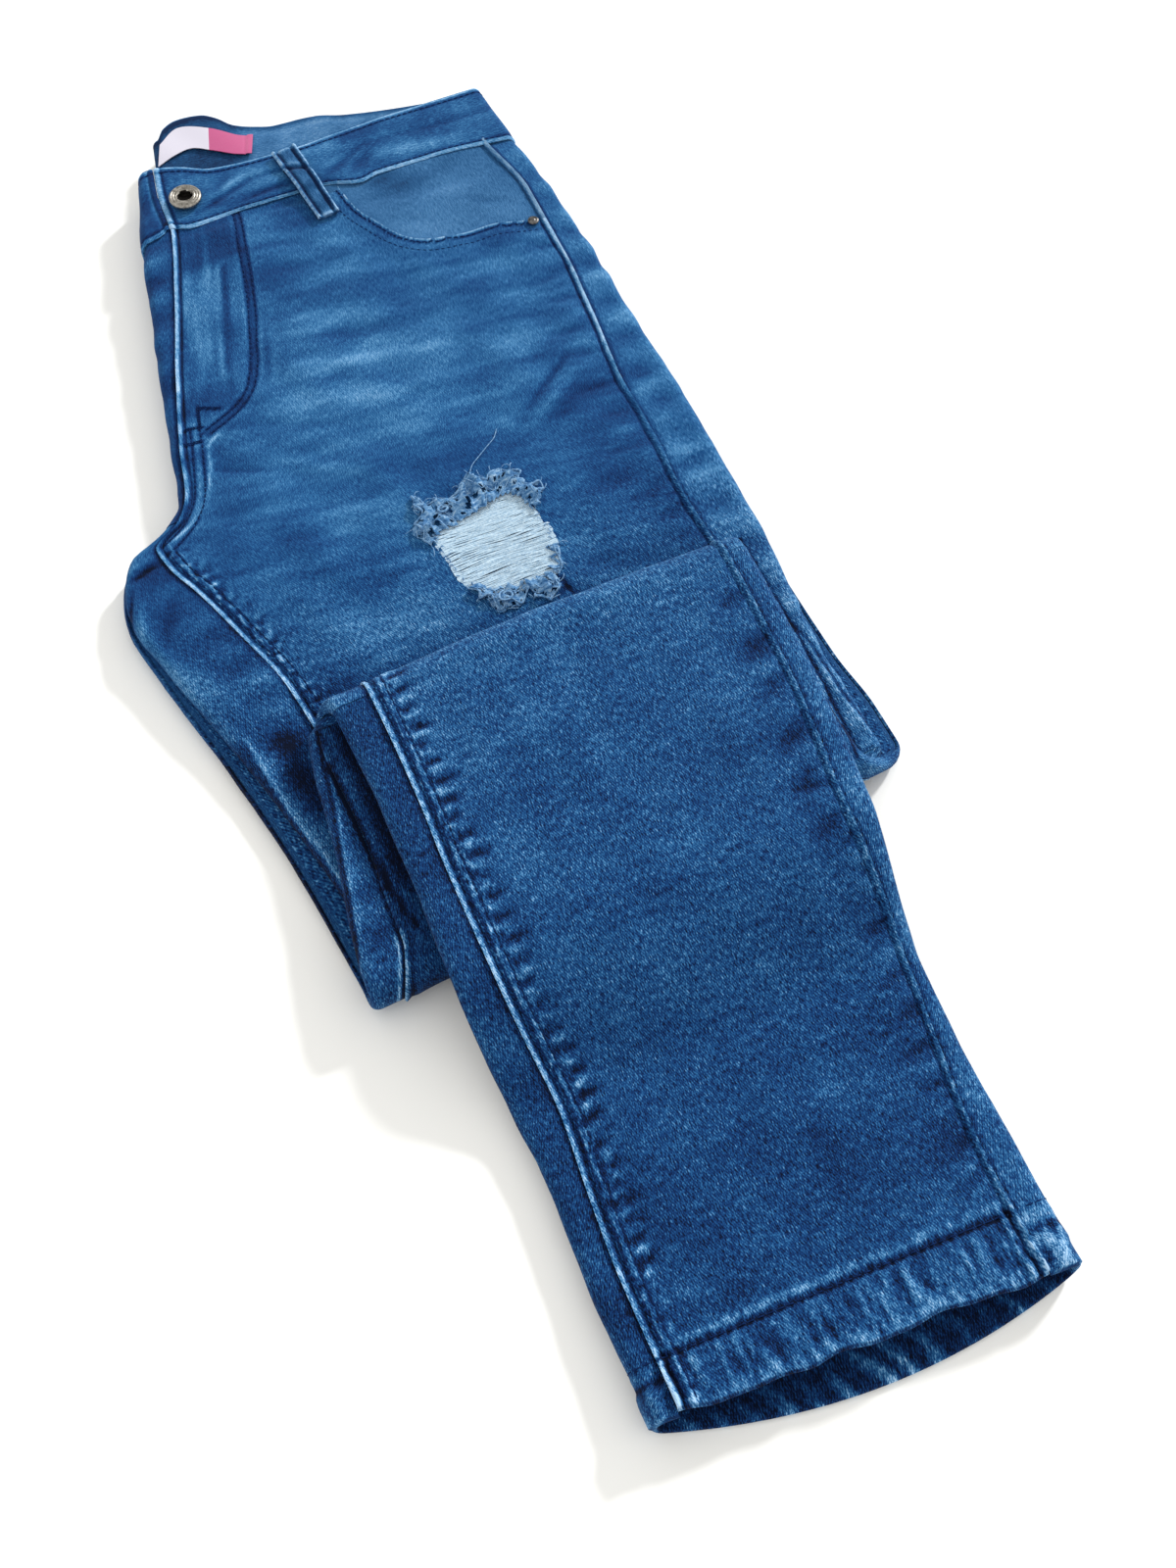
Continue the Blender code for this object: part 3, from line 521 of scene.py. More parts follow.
def line_distance(px, py, points):
    """Distance to an open line in x and y, and how far along it the nearest point lies."""
    best, along, total = np.full(px.shape, 1e9), np.zeros(px.shape), 0.0
    points = np.asarray(points, float)
    for a, b in zip(points, points[1:]):
        size = float(np.hypot(*(b - a)))
        t = np.clip(((px - a[0]) * (b - a)[0] + (py - a[1]) * (b - a)[1]) / size ** 2, 0, 1)
        away = np.hypot(px - a[0] - t * (b - a)[0], py - a[1] - t * (b - a)[1])
        closer = away < best
        best, along = np.where(closer, away, best), np.where(closer, total + t * size, along)
        total += size
    return best, along


def curve_through(points, step=0.15):
    """A smooth line through a few points (Catmull-Rom)."""
    p = np.asarray(points, float)
    p = np.concatenate([2 * p[:1] - p[1:2], p, 2 * p[-1:] - p[-2:-1]])
    out = []
    for a, b, c, e in zip(p, p[1:], p[2:], p[3:]):
        count = max(2, int(np.linalg.norm(c - b) / step))
        for t in np.linspace(0, 1, count, endpoint=False):
            out.append(0.5 * (2 * b + (c - a) * t + (2 * a - 5 * b + 4 * c - e) * t * t
                              + (3 * b - a - 3 * c + e) * t ** 3))
    return np.array(out + [p[-2]])


def uneven(a, b, size, seed):
    """Soft unevenness, about -1 to 1, in humps of about the given size."""
    draw = random.Random(seed)
    total = 0.0
    for _ in range(10):
        angle, phase = draw.uniform(0, math.pi), draw.uniform(0, math.tau)
        wave = 2 * size * draw.uniform(0.7, 1.7)
        total = total + np.sin((a * math.cos(angle) + b * math.sin(angle)) * math.tau / wave + phase)
    return total / 3.5


def hump(value, centre, width):
    return np.exp(-((value - centre) / width) ** 2)


def soft_spot(x, y, centre_x, centre_y, width_x, width_y):
    """1 at a place on the cloth, fading out round it."""
    return np.exp(-((x - centre_x) / width_x) ** 2 - ((y - centre_y) / width_y) ** 2)


def summed(reliefs):
    """Several reliefs as one: their heights added up, and their tones."""
    return sum(height for height, _ in reliefs), sum(wear for _, wear in reliefs)


# A soft trough or ridge between two places; its tone is lighter above 0 and darker below it: rubbed ridges
# and unfaded troughs, with painted light on the ridges and painted shade in the troughs as well
Crease = namedtuple("Crease", "x0 y0 x1 y1 width height wear")


def creases(*rows):
    return [Crease(*row) for row in rows]


def creased(a, b, table):
    """The relief of many creases at places a and b across the cloth and along it."""
    height, wear = 0 * a, 0 * a
    for c in table:
        dx, dy = c.x1 - c.x0, c.y1 - c.y0
        t = np.clip(((a - c.x0) * dx + (b - c.y0) * dy) / (dx * dx + dy * dy), 0, 1)
        away = np.hypot(a - c.x0 - t * dx, b - c.y0 - t * dy)
        soft = hump(away, 0.0, c.width) * (0.4 + 0.6 * np.sin(math.pi * np.clip(t, 0.03, 0.97)))
        height, wear = height + c.height * soft, wear + c.wear * soft
    return height, wear


def puckers(seed, start, end, spacing, near, length, height, wear, width=0.28, lean=0.25):
    """Short dents across a seam, in distance from the seam and distance along it. The dents are darker and
    their crests lighter, partly as unfaded and rubbed cloth and partly as painted shade and light.
    """
    draw = random.Random(seed)
    found, at = [], start
    while at < end:
        reach = near + length * draw.uniform(0.5, 1.15)
        tilt = lean * draw.uniform(-1, 1)
        strength = draw.uniform(0.5, 1.2)
        found.append(Crease(near, at, reach, at + tilt, width * draw.uniform(0.75, 1.2),
                            -height * strength, -wear * strength))
        crest = at + spacing * draw.uniform(0.4, 0.6)
        found.append(Crease(near, crest, near + 0.8 * length * draw.uniform(0.5, 1.1), crest + tilt,
                            width * 0.8, 0.6 * height * strength, 0.9 * wear * strength))
        at += spacing * draw.uniform(0.8, 1.25)
    return found


# ---------------------------------------------------------------- making objects

def only(made):
    """Makes one object the selected and active one."""
    bpy.ops.object.select_all(action="DESELECT")
    made.select_set(True)
    bpy.context.view_layer.objects.active = made


def grid_quads(rows, columns):
    """The corners of every cell in a grid of points."""
    index = np.arange(rows * columns).reshape(rows, columns)
    return np.stack([index[:-1, :-1], index[:-1, 1:], index[1:, 1:], index[1:, :-1]], axis=-1)


def tube_faces(rings, sides):
    """The faces of a closed tube, from its rings of points."""
    faces = []
    for i in range(rings - 1):
        for j in range(sides):
            k = (j + 1) % sides
            faces.append((i * sides + j, i * sides + k, (i + 1) * sides + k, (i + 1) * sides + j))
    last = (rings - 1) * sides
    return faces + [tuple(range(sides))[::-1], tuple(last + j for j in range(sides))]


def new_object(name, verts, faces, materials):
    mesh = bpy.data.meshes.new(name)
    mesh.from_pydata([tuple(v) for v in np.asarray(verts)], [], faces)
    made = bpy.data.objects.new(name, mesh)
    for material in materials:
        mesh.materials.append(material)
    bpy.context.collection.objects.link(made)
    return made


def set_cloth_layers(mesh, uv, wear):
    """The cloth's own map, in metres across and along the warp, and the tone that worn places, painted shade
    and painted highlights give it.
    """
    index = np.empty(len(mesh.loops), int)
    mesh.loops.foreach_get("vertex_index", index)
    layer = mesh.uv_layers.new(name="cloth")
    layer.data.foreach_set("uv", uv[index].astype(np.float32).ravel())
    # per-point tone: real fading, and also painted shade and painted highlights
    mesh.attributes.new("wear", "FLOAT", "POINT").data.foreach_set("value", wear.astype(np.float32))
    co = np.empty(3 * len(mesh.vertices))
    mesh.vertices.foreach_get("co", co)
    grain = 0.5 + 0.6 * ease((0.10 - co[1::3]) / 0.12)
    mesh.attributes.new("grain", "FLOAT", "POINT").data.foreach_set("value", grain.astype(np.float32))


def finish_piece(made, nodes=(), smooth_angle=50.0):
    only(made)
    bpy.ops.object.shade_smooth_by_angle(angle=math.radians(smooth_angle))
    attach(made, "root")
    if nodes:
        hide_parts(*nodes)
    return made


def give_wall(made, thickness, offset, inner_material):
    """Thickens a surface, inwards with offset -1 and both ways with 0."""
    only(made)
    wall = made.modifiers.new("wall", "SOLIDIFY")
    wall.thickness, wall.offset, wall.material_offset = thickness * CM, offset, inner_material
    bpy.ops.object.modifier_apply(modifier="wall")


def cloth_object(name, cloth, materials, nodes=(), ply=PLY, weft_along=False):
    """A sheet with its thickness, from a grid."""
    quads = grid_quads(*cloth.x.shape)
    if cloth.flip:
        quads = quads[..., ::-1]
    quads = quads[cloth.keep] if cloth.keep is not None else quads.reshape(-1, 4)
    used, renumbered = np.unique(quads, return_inverse=True)
    quads = renumbered.reshape(quads.shape)
    made = new_object(name, cloth.points.reshape(-1, 3)[used], quads.tolist(), materials)
    middle = cloth.side - cloth.side.mean(axis=1, keepdims=True)
    uv = np.stack([middle * CM, cloth.run * CM], axis=-1)
    if weft_along:
        uv = uv[..., ::-1]
    set_cloth_layers(made.data, uv.reshape(-1, 2)[used], cloth.wear.ravel()[used])
    give_wall(made, ply, -1.0, len(materials) - 1)
    finish_piece(made, nodes)


def steps(*stretches):
    """Distances along the folded line: (start, end, step) for each stretch."""
    found = [np.linspace(a, b, max(2, round(abs(b - a) / step) + 1))[:-1] for a, b, step in stretches]
    return np.concatenate(found + [[stretches[-1][1]]])


def hem_rows(d, depth=HEM_DEPTH, radius=HEM_ROUND, step=0.16):
    """Adds a turned-up end to a sheet's rows: distances, drops below the face, reach outwards."""
    turn = np.linspace(0, math.pi, 8)[1:]
    inside = np.linspace(0, depth, round(depth / step))[1:]
    rows = np.concatenate([d, 0 * turn + d[-1], d[-1] - inside])
    drop = np.concatenate([0 * d, radius * (1 - np.cos(turn)), 0 * inside + 2 * radius])
    reach = np.concatenate([0 * d, radius * np.sin(turn), 0 * inside])
    return SimpleNamespace(d=rows, drop=drop, reach=reach, face=slice(0, len(d)))


def top_rows(d, depth, radius, step=0.3):
    """The same at a sheet's first row, turned over the top."""
    turn = np.linspace(math.pi, 0, 8)[:-1]
    inside = np.linspace(depth, 0, round(depth / step))[:-1]
    rows = np.concatenate([d[0] + inside, 0 * turn + d[0], d])
    drop = np.concatenate([0 * inside + 2 * radius, radius * (1 - np.cos(turn)), 0 * d])
    reach = np.concatenate([0 * inside, -radius * np.sin(turn), 0 * d])
    return SimpleNamespace(d=rows, drop=drop, reach=reach,
                           face=slice(len(inside) + len(turn), len(rows)))


# One stitch, as shares of its length and of the thread's radius: along it, height, thickness
STITCH = ((0.0, -1.1, 0.6), (0.12, 0.2, 0.9), (0.5, 0.55, 1.0), (0.88, 0.2, 0.9), (1.0, -1.1, 0.6))


class Gather:
    """Many small meshes gathered into one object."""

    def __init__(self):
        self.verts, self.faces = [], []

    def add(self, verts, faces):
        base = len(self.verts)
        self.verts.extend(verts)
        self.faces.extend([tuple(base + i for i in f) for f in faces])

    def tube(self, points, radii, sides=6, up=(0, 0, 1)):
        """A closed thread along points."""
        points = np.asarray(points, float)
        radii = np.broadcast_to(np.asarray(radii, float), (len(points),))
        along = np.gradient(points, axis=0)
        along /= np.maximum(np.linalg.norm(along, axis=1, keepdims=True), 1e-12)
        up = np.broadcast_to(np.asarray(up, float), along.shape)
        across = np.cross(along, up)
        across /= np.maximum(np.linalg.norm(across, axis=1, keepdims=True), 1e-9)
        over = np.cross(across, along)
        a = np.arange(sides) * math.tau / sides
        ring = (across[:, None, :] * np.cos(a)[None, :, None] + over[:, None, :] * np.sin(a)[None, :, None])
        verts = (points[:, None, :] + ring * radii[:, None, None]).reshape(-1, 3)
        self.add(verts.tolist(), tube_faces(len(points), sides))

    def stitches(self, path, length=0.27, space=0.07, radius=0.038, sink=0.006):
        """Thread stitches along a path of points and normals."""
        points = np.array([p for p, _ in path]) / CM
        normals = np.array([n for _, n in path])
        run = np.concatenate([[0.0], np.cumsum(np.linalg.norm(np.diff(points, axis=0), axis=1))])
        at = space
        while at + length < run[-1]:
            spots, ups = [], []
            for share, rise, _ in STITCH:
                where = at + length * share
                spot = np.array([np.interp(where, run, points[:, k]) for k in range(3)])
                up = np.array([np.interp(where, run, normals[:, k]) for k in range(3)])
                up /= np.linalg.norm(up)
                spots.append((spot + up * (rise * radius - sink)) * CM)
                ups.append(up)
            self.tube(spots, np.array([size for _, _, size in STITCH]) * radius * CM, 6, np.array(ups))
            at += length + space

    def make(self, name, material, slot_name, nodes=(), smooth_angle=60.0):
        made = new_object(name, self.verts, self.faces, [material])
        return finish_piece(made, nodes, smooth_angle)


# ---------------------------------------------------------------- materials

def linear(hex_colour):
    """An sRGB hex colour as linear red, green, blue and alpha."""
    parts = [int(hex_colour[i:i + 2], 16) / 255 for i in (1, 3, 5)]
    return [c / 12.92 if c <= 0.04045 else ((c + 0.055) / 1.055) ** 2.4 for c in parts] + [1.0]


def add(material, kind, settings, inputs):
    """Adds a node with its settings; an input is a value or another node's output."""
    node = material.node_tree.nodes.new(f"ShaderNode{kind}")
    for name, value in settings.items():
        setattr(node, name, value)
    for key, value in inputs.items():
        if isinstance(value, bpy.types.NodeSocket):
            material.node_tree.links.new(value, node.inputs[key])
        else:
            node.inputs[key].default_value = value
    return node


def new_material(name, inputs):
    """A material with its own Principled shader, set by socket."""
    material = bpy.data.materials.new(name)
    material.use_nodes = True
    material.node_tree.nodes.clear()
    shader = add(material, "BsdfPrincipled", {}, inputs)
    add(material, "OutputMaterial", {}, {"Surface": shader.outputs["BSDF"]})
    return material, shader


def set_ramp(ramp, stops):
    """Gives a colour ramp its stops: (place, hex colour)."""
    elements = ramp.color_ramp.elements
    while len(elements) > 1:
        elements.remove(elements[-1])
    elements[0].position, elements[0].color = stops[0][0], linear(stops[0][1])
    for place_at, colour in stops[1:]:
        elements.new(place_at).color = linear(colour)


def object_place(material):
    return add(material, "TexCoord", {}, {}).outputs["Object"]


def math_node(material, operation, *values):
    """A sum or product of numbers and other nodes' outputs."""
    return add(material, "Math", {"operation": operation}, dict(enumerate(values))).outputs[0]


def noise(material, vector, size, detail=2.0, roughness=0.5, dimensions="3D", distortion=0.0):
    """Noise with humps of a size in metres."""
    return add(material, "TexNoise", {"noise_dimensions": dimensions},
               {"Vector": vector, "Scale": 1 / size, "Detail": detail, "Roughness": roughness,
                "Distortion": distortion}).outputs["Fac"]


def colour_and_bump(material, shader, pattern, stops, strength, depth, relief=None):
    """Colours the shader by a pattern, through a ramp, and gives it a fine relief."""
    ramp = add(material, "ValToRGB", {}, {"Fac": pattern})
    set_ramp(ramp, stops)
    bump = add(material, "Bump", {}, {"Height": pattern if relief is None else relief,
                                      "Strength": strength, "Distance": depth})
    material.node_tree.links.new(ramp.outputs["Color"], shader.inputs["Base Color"])
    material.node_tree.links.new(bump.outputs["Normal"], shader.inputs["Normal"])
    return material


INDIGO = [(0.0, "#030B20"), (0.22, "#082552"), (0.42, "#123F70"), (0.58, "#275D8C"),
          (0.72, "#4C80AB"), (0.88, "#7BA3C8"), (1.0, "#9DBEDC")]
MM = 0.001


def indigo_denim(name, stops, base, slub=0.42, heather=0.26, twill=0.08, mottle=0.12, blotch=0.05):
    """Stretch denim, indigo warp over white weft in a 3/1 right-hand twill, stone washed. The warp
    yarns vary in thickness and dye, which reads as fine streaks along the leg; worn places show white,
    painted shade dark and painted highlights pale, and grain says how much of the yarns' contrast sanding
    left."""
    material, shader = new_material(name, {"Roughness": 0.95, "IOR": 1.45, "Sheen Weight": 0.03,
                                           "Sheen Roughness": 0.5, "Specular IOR Level": 0.1})
    uv = add(material, "UVMap", {"uv_map": "cloth"}, {}).outputs["UV"]
    wear = add(material, "Attribute", {"attribute_name": "wear"}, {}).outputs["Fac"]
    grain_left = add(material, "Attribute", {"attribute_name": "grain"}, {}).outputs["Fac"]
    # slubs: a warp yarn is about 0.5 mm wide, and a thick place in it 2 to 4 mm long
    yarn = add(material, "Mapping", {}, {"Vector": uv, "Scale": (1 / (0.55 * MM), 1 / (3.0 * MM), 1)})
    slubs = noise(material, yarn.outputs[0], 1.0, 1.0, 0.6, "2D")
    grain = noise(material, uv, 0.9 * MM, 2.0, 0.6, "2D")
    # twill lines are 0.6 mm apart on the real cloth, drawn at 1.0 mm so that they show
    slant = add(material, "Mapping", {}, {"Vector": uv, "Rotation": (0, 0, math.radians(27))})
    ribs = add(material, "TexWave", {"bands_direction": "X"},
               {"Vector": slant.outputs[0], "Scale": math.tau / 20 / (1.0 * MM), "Distortion": 1.2,
                "Detail": 1.0, "Detail Scale": 1.5}).outputs["Fac"]
    patches = noise(material, uv, 25 * MM, 2.0, 0.5, "2D")
    cloudy = noise(material, uv, 3.6 * MM, 2.5, 0.6, "2D")
    total = 0.0
    for source, amount in ((slubs, slub), (grain, heather), (ribs, twill), (cloudy, mottle)):
        centred = math_node(material, "SUBTRACT", source, 0.5)
        total = math_node(material, "MULTIPLY_ADD", centred, 2 * amount, total)
    cloud = math_node(material, "MULTIPLY_ADD", patches, 2 * blotch, base - blotch)
    total = math_node(material, "MULTIPLY_ADD", total, grain_left, cloud)
    # the per-point value shifts the ramp: real fading, and painted shade and painted highlights
    worn = math_node(material, "MULTIPLY_ADD", wear, 0.16, total)
    return colour_and_bump(material, shader, worn, stops, 0.5, 0.4 * MM, total)


def yarn_material(name, colour, other):
    """Spun thread: two close colours along it, and a fine twist in the bump."""
    material, shader = new_material(name, {"Roughness": 0.95, "IOR": 1.45, "Specular IOR Level": 0.1})
    fluff = noise(material, object_place(material), 1.2 * MM)
    return colour_and_bump(material, shader, fluff, [(0.3, colour), (0.7, other)], 0.4, 0.1 * MM)


def torn_cloth(name):
    """Denim that has lost some of its warp: pale threads with dark openings between them."""
    material, shader = new_material(name, {"Roughness": 0.95, "IOR": 1.45, "Specular IOR Level": 0.1})
    # gaps of 2 to 3 mm, stretched a little along the threads
    stretched = add(material, "Mapping", {}, {"Vector": object_place(material),
                                              "Scale": (1 / (3.2 * MM), 1 / (1.9 * MM), 1 / (2.4 * MM))})
    gaps = noise(material, stretched.outputs[0], 1.0, 3.0, 0.7, "3D", 0.8)
    stops = [(0.30, "#1E4470"), (0.43, "#3D6A98"), (0.56, "#668FB5"), (0.68, "#9AB6CE")]
    return colour_and_bump(material, shader, gaps, stops, 0.8, 0.5 * MM)


def woven_satin(name, colour, other):
    """A damask-woven polyester label: dense and smooth, with fine weft lines and a soft shine."""
    material, shader = new_material(name, {"Roughness": 0.45, "IOR": 1.5, "Sheen Weight": 0.2})
    uv = add(material, "UVMap", {"uv_map": "cloth"}, {})
    # weft lines are 0.2 mm apart, drawn at 0.6 mm
    lines = add(material, "TexWave", {"bands_direction": "Y"},
                {"Vector": uv.outputs["UV"], "Scale": math.tau / 20 / (0.6 * MM), "Distortion": 0.4})
    return colour_and_bump(material, shader, lines.outputs["Fac"], [(0.2, colour), (0.8, other)],
                           0.3, 0.1 * MM)


def antiqued_metal(name, light, dark, roughness):
    """Die-cast zinc plated and antiqued: dark in its hollows, rubbed lighter on the high places."""
    material, shader = new_material(name, {"Metallic": 1.0, "Roughness": roughness})
    stain = noise(material, object_place(material), 2.5 * MM, 4.0, 0.7)
    grit = noise(material, object_place(material), 0.5 * MM)
    return colour_and_bump(material, shader, stain, [(0.35, dark), (0.6, light)], 0.3, 0.1 * MM, grit)


DENIM = indigo_denim("stretch denim, stone washed", INDIGO, 0.44)
REVERSE = indigo_denim("stretch denim, weft side",
                       [(0.0, "#071530"), (0.4, "#1B3D6B"), (0.7, "#4A71A0"), (1.0, "#93AECB")], 0.33)
FACING = indigo_denim("pocket denim, greyer",
                      [(0.0, "#0A2143"), (0.35, "#1D4A75"), (0.6, "#3D6C98"), (1.0, "#84A8C8")], 0.47)
SEAM_THREAD = yarn_material("polyester topstitch thread, navy", "#061434", "#0E2A5A")
WEFT = yarn_material("cotton weft, bleached", "#9DB9CE", "#C2D7E4")
FRAY = yarn_material("frayed indigo warp", "#41709F", "#8AAECD")
LACE = torn_cloth("frayed denim, part warp and part bare weft")
WHITE_SATIN = woven_satin("polyester satin, white", "#C3BFCD", "#CECBD8")
PINK_SATIN = woven_satin("polyester satin, pink", "#A8386E", "#B94A80")
SILVER = antiqued_metal("zinc, antiqued silver plate", "#A5A199", "#5A564F", 0.42)
GREY_METAL = antiqued_metal("zinc, antiqued gunmetal", "#6E6C6A", "#2E2C2B", 0.35)
BLACK_METAL = antiqued_metal("zinc, blackened", "#1C1A18", "#0C0B0A", 0.5)


# ---------------------------------------------------------------- the left leg's front panel

def seam_edge(e, run, seed, raised=0.08, pale=2.2, dark=1.4):
    """The turned and pressed edge of a seam, by distance e from it: a worn ridge, then a groove darkened with
    painted shade.
    """
    rough = 1 + 0.25 * uneven(run, 0 * run, 0.45, seed)
    ridge, hollow = np.exp(-(np.maximum(e - 0.02, 0) / 0.17) ** 4), hump(e, 0.31, 0.075)
    pale_at = np.exp(-(np.abs(e - 0.06) / 0.13) ** 6)
    return raised * ridge - 0.07 * hollow, pale * pale_at * rough - dark * hollow * (0.8 + 0.2 * rough)


FELL_ROWS = (0.46, 0.80)      # a felled seam's two rows of stitches, from its edge


def felled_seam(e, run, seed, ripple=1.0):
    """A flat-felled seam: edge, then two stitched grooves in a puckered, rubbed band."""
    height, wear = seam_edge(e, run, seed)
    band = ease((e - 0.32) / 0.06) * ease((0.98 - e) / 0.08)
    rows = sum(hump(e, away, 0.05) for away in FELL_ROWS)
    crimps = np.sin(run * math.tau / 0.31 + 1.5 * uneven(run, e, 0.8, seed + 1))
    streaks = uneven(e * 6, run, 0.5, seed + 2)
    height = height + 0.035 * band - 0.045 * rows + 0.012 * crimps * band * ripple
    rubbed = ease((e - 0.3) / 0.1) * ease((1.9 - e) / 0.9)
    smears = 0.75 * uneven(2.2 * e + 0.8 * run, 1.6 * run, 0.5, seed + 5)
    smears = smears + 0.65 * uneven(4 * e, 3 * run - 2 * e, 0.6, seed + 6)
    return height, wear + (0.2 + 1.0 * streaks + 0.4 * crimps * ripple) * band - 1.3 * rows + smears * rubbed


def stitched_line(x, y, lines, depth=0.045, dark=1.9, width=0.075):
    """The dents that rows of stitches pull into the cloth."""
    height, wear = 0 * x, 0 * x
    for points in lines:
        away, along = line_distance(x, y, points)
        dent = hump(away, 0.0, width)
        height = height - depth * dent * (0.8 + 0.2 * np.sin(along * math.tau / 0.34))
        wear = wear - dark * dent + 0.15 * dark * hump(away, 0.22, 0.09)
    return height, wear


def mottled(x, y, seed, amount, stretch=0.6):
    """Stone washing leaves the cloth cloudy at several sizes, the smaller ones stretched across."""
    return amount * (uneven(x, y, 1.9, seed) + 0.7 * uneven(stretch * x, y, 0.6, seed + 200)
                     + 0.5 * uneven(stretch * x, y, 0.3, seed + 400))


def off_the_fly(x, y):
    """0 on the fly's pressed panel, 1 elsewhere."""
    return 1 - 0.7 * ease((-2.6 - x) / 0.6) * ease((y - 17.0) / 1.0)


def relief_of_thigh(cloth):
    x, y, e, far, run = cloth.px, cloth.py, cloth.side, cloth.far, cloth.run
    shown = 1 - ease((cloth.down - 31.0) / 1.0)
    below_waist = ease(cloth.down / 0.4)
    below_crotch = ease((y - 10.8) / -1.2)
    side = seam_edge(far + 0.05 * uneven(run, 0 * run, 1.6, 24), run, 22, 0.10, 2.5, 2.2)
    parts = [
        (0.06 * uneven(x, y, 3.0, 11) + 0.025 * uneven(x, y, 1.1, 12),
         mottled(x, y, 13, 0.26, 0.25) * off_the_fly(x, y)),
        creased(x, y, THIGH_CREASES),
        (side[0], side[1] * (0.35 + 0.65 * ease((y - 9.0) / 6.0))),
        rise_rim(x, y),
        creased(far, run, SIDE_THIGH_PUCKERS),
        stitched_line(x, y, thigh_stitch_lines()),
        stitched_line(x, y, [offset(J_STITCH, -ROW_GAP / 2)], 0.03, 1.3, 0.19),
        (0 * x, thigh_fades_and_fold_shade(x, y)),
        pocket_edge(x, y),
    ]
    inseam = felled_seam(e, run, 23)
    fly = seam_edge(e, run, 21, 0.10, 2.2, 2.4)
    rim_dark = 1.2 * ease((18.5 - y) / 2.5) + 1.8 * ease((12.9 - y) / 0.8)
    fly = fly[0], fly[1] - rim_dark * ease((0.28 - e) / 0.1)
    pucker = creased(e, run, INSEAM_THIGH_PUCKERS)
    parts.append(tuple(inseam[k] * below_crotch + fly[k] * (1 - below_crotch) + pucker[k] * below_crotch
                       for k in (0, 1)))
    height, wear = summed(parts)
    cloth.shape(height * shown - 0.09 * (1 - below_waist), wear)


def rise_rim(x, y):
    """The rise seam's folded edge, a thin pale line beside its stitching."""
    away = line_distance(x, y, curve_through(RISE_RIM, 0.2))[0]
    return 0.03 * hump(away, 0.0, 0.12), 1.9 * hump(away, 0.0, 0.09)


def pocket_edge(x, y):
    """The opening's turned edge, thick and rubbed pale."""
    away = line_distance(x, y, curve_through(POCKET_STITCH, 0.2))[0]
    return 0.05 * hump(away, 0.0, 0.16), 2.8 * hump(away, 0.02, 0.085)


def thigh_fades_and_fold_shade(x, y):
    """Where the leg was sanded lighter or stayed dark: soft bands across the thigh, and the fly; just above
    fold 2 the thigh is darkened as painted shade.
    """
    wear = 0.55 * soft_spot(x, y, 0.5, 15.0, 6.5, 6.0) + 0.25 * ease((y - 6.0) / 8.0)
    bands = uneven(0.22 * x + 0.1 * y, y + 0.12 * x, 0.9, 14)
    wear = wear + 0.31 * bands * ease((y - 9.0) / 4.0) * ease((12.0 - x) / 3.0) * off_the_fly(x, y)
    wear = wear + 0.75 * soft_spot(x, y, -2.5, 2.0, 4.5, 1.3)
    wear = wear + 0.45 * soft_spot(x, y, -1.6, 7.4, 3.2, 1.6)
    wear = wear - 0.8 * soft_spot(x, y, 2.2, 9.8, 3.4, 1.2)
    # hidden: painted shade on the thigh where fold 2 lies over it
    hidden = ease((0.5 - y) / 0.8) * (0.6 + 0.4 * ease((x - 3.0) / 3.0))
    wear = wear - 0.5 * ease((x - 7.0) / 4.0) * ease((15.0 - y) / 4.0) - 1.3 * hidden
    return wear + fly_fades_and_shadow(x, y)


def fly_fades_and_shadow(x, y):
    """The fly's pressed panel, faded over the zip, dark above, below and beside it; the dark line along its
    raised right edge is painted shadow.
    """
    left, right = -6.45 - (26.1 - y) * 0.24, -4.5 - (25.8 - y) * 0.29
    panel = ease((x - left) / 0.3) * ease((right - x) / 0.15) * ease((y - 19.6) / 2.5)
    panel = panel * ease((26.3 - y) / 0.4)
    ridge = hump(x, right, 0.1) * ease((y - 18.6) / 1.5) * ease((26.6 - y) / 0.6)
    ghosts = uneven(1.6 * (x - 0.28 * y), 0.25 * y, 0.5, 15) * ease((-2.8 - x) / 0.5) * ease((y - 17.5) / 1.0)
    wear = 0.65 * panel + 0.6 * ridge + 0.4 * ghosts
    # painted shadow beside the fly's raised right edge
    wear = wear - 1.3 * hump(x, right + 0.32, 0.2) * ease((y - 19.0) / 1.0) * ease((26.4 - y) / 0.4)
    wear = wear - 0.9 * ease((y - 26.3) / 0.5) * ease((x - left) / 0.3) * ease((-2.6 - x) / 0.4)
    return wear - 0.9 * ease((19.4 - y) / 1.5) * ease((y - 16.9) / 0.5) * ease((-5.6 - x) / 0.5)


def offset(points, distance):
    """A line beside another, to its left when distance is positive."""
    p = curve_through(points, 0.3)
    along = np.gradient(p, axis=0)
    along /= np.linalg.norm(along, axis=1, keepdims=True)
    return [tuple(q) for q in p + np.stack([-along[:, 1], along[:, 0]], axis=1) * distance]


J_STITCH = trace(
    (-2.1, 29.9), (-2.25, 28.6), (-2.6, 26.9), (-3.0, 24.8), (-3.45, 22.9), (-4.15, 20.5), (-4.65, 18.95),
    (-5.35, 17.6), (-6.5, 16.65), (-8.25, 15.87))
RISE_STITCH = trace((-8.45, 16.6), (-8.8, 14.9), (-9.5, 12.4), (-10.3, 11.1), (-11.3, 10.3), (-12.2, 9.8))
TACKS = [
    trace((-8.15, 17.65), (-7.65, 17.4), (-7.1, 17.15)),
    trace((-9.2, 16.65), (-8.75, 16.55), (-8.25, 16.5)),
    trace((-9.55, 15.75), (-9.1, 15.7), (-8.6, 15.7)),
    trace((-8.15, 17.8), (-8.35, 17.2), (-8.5, 16.5)),
]
ROW_GAP = 0.36            # between the two rows of the fly's curve
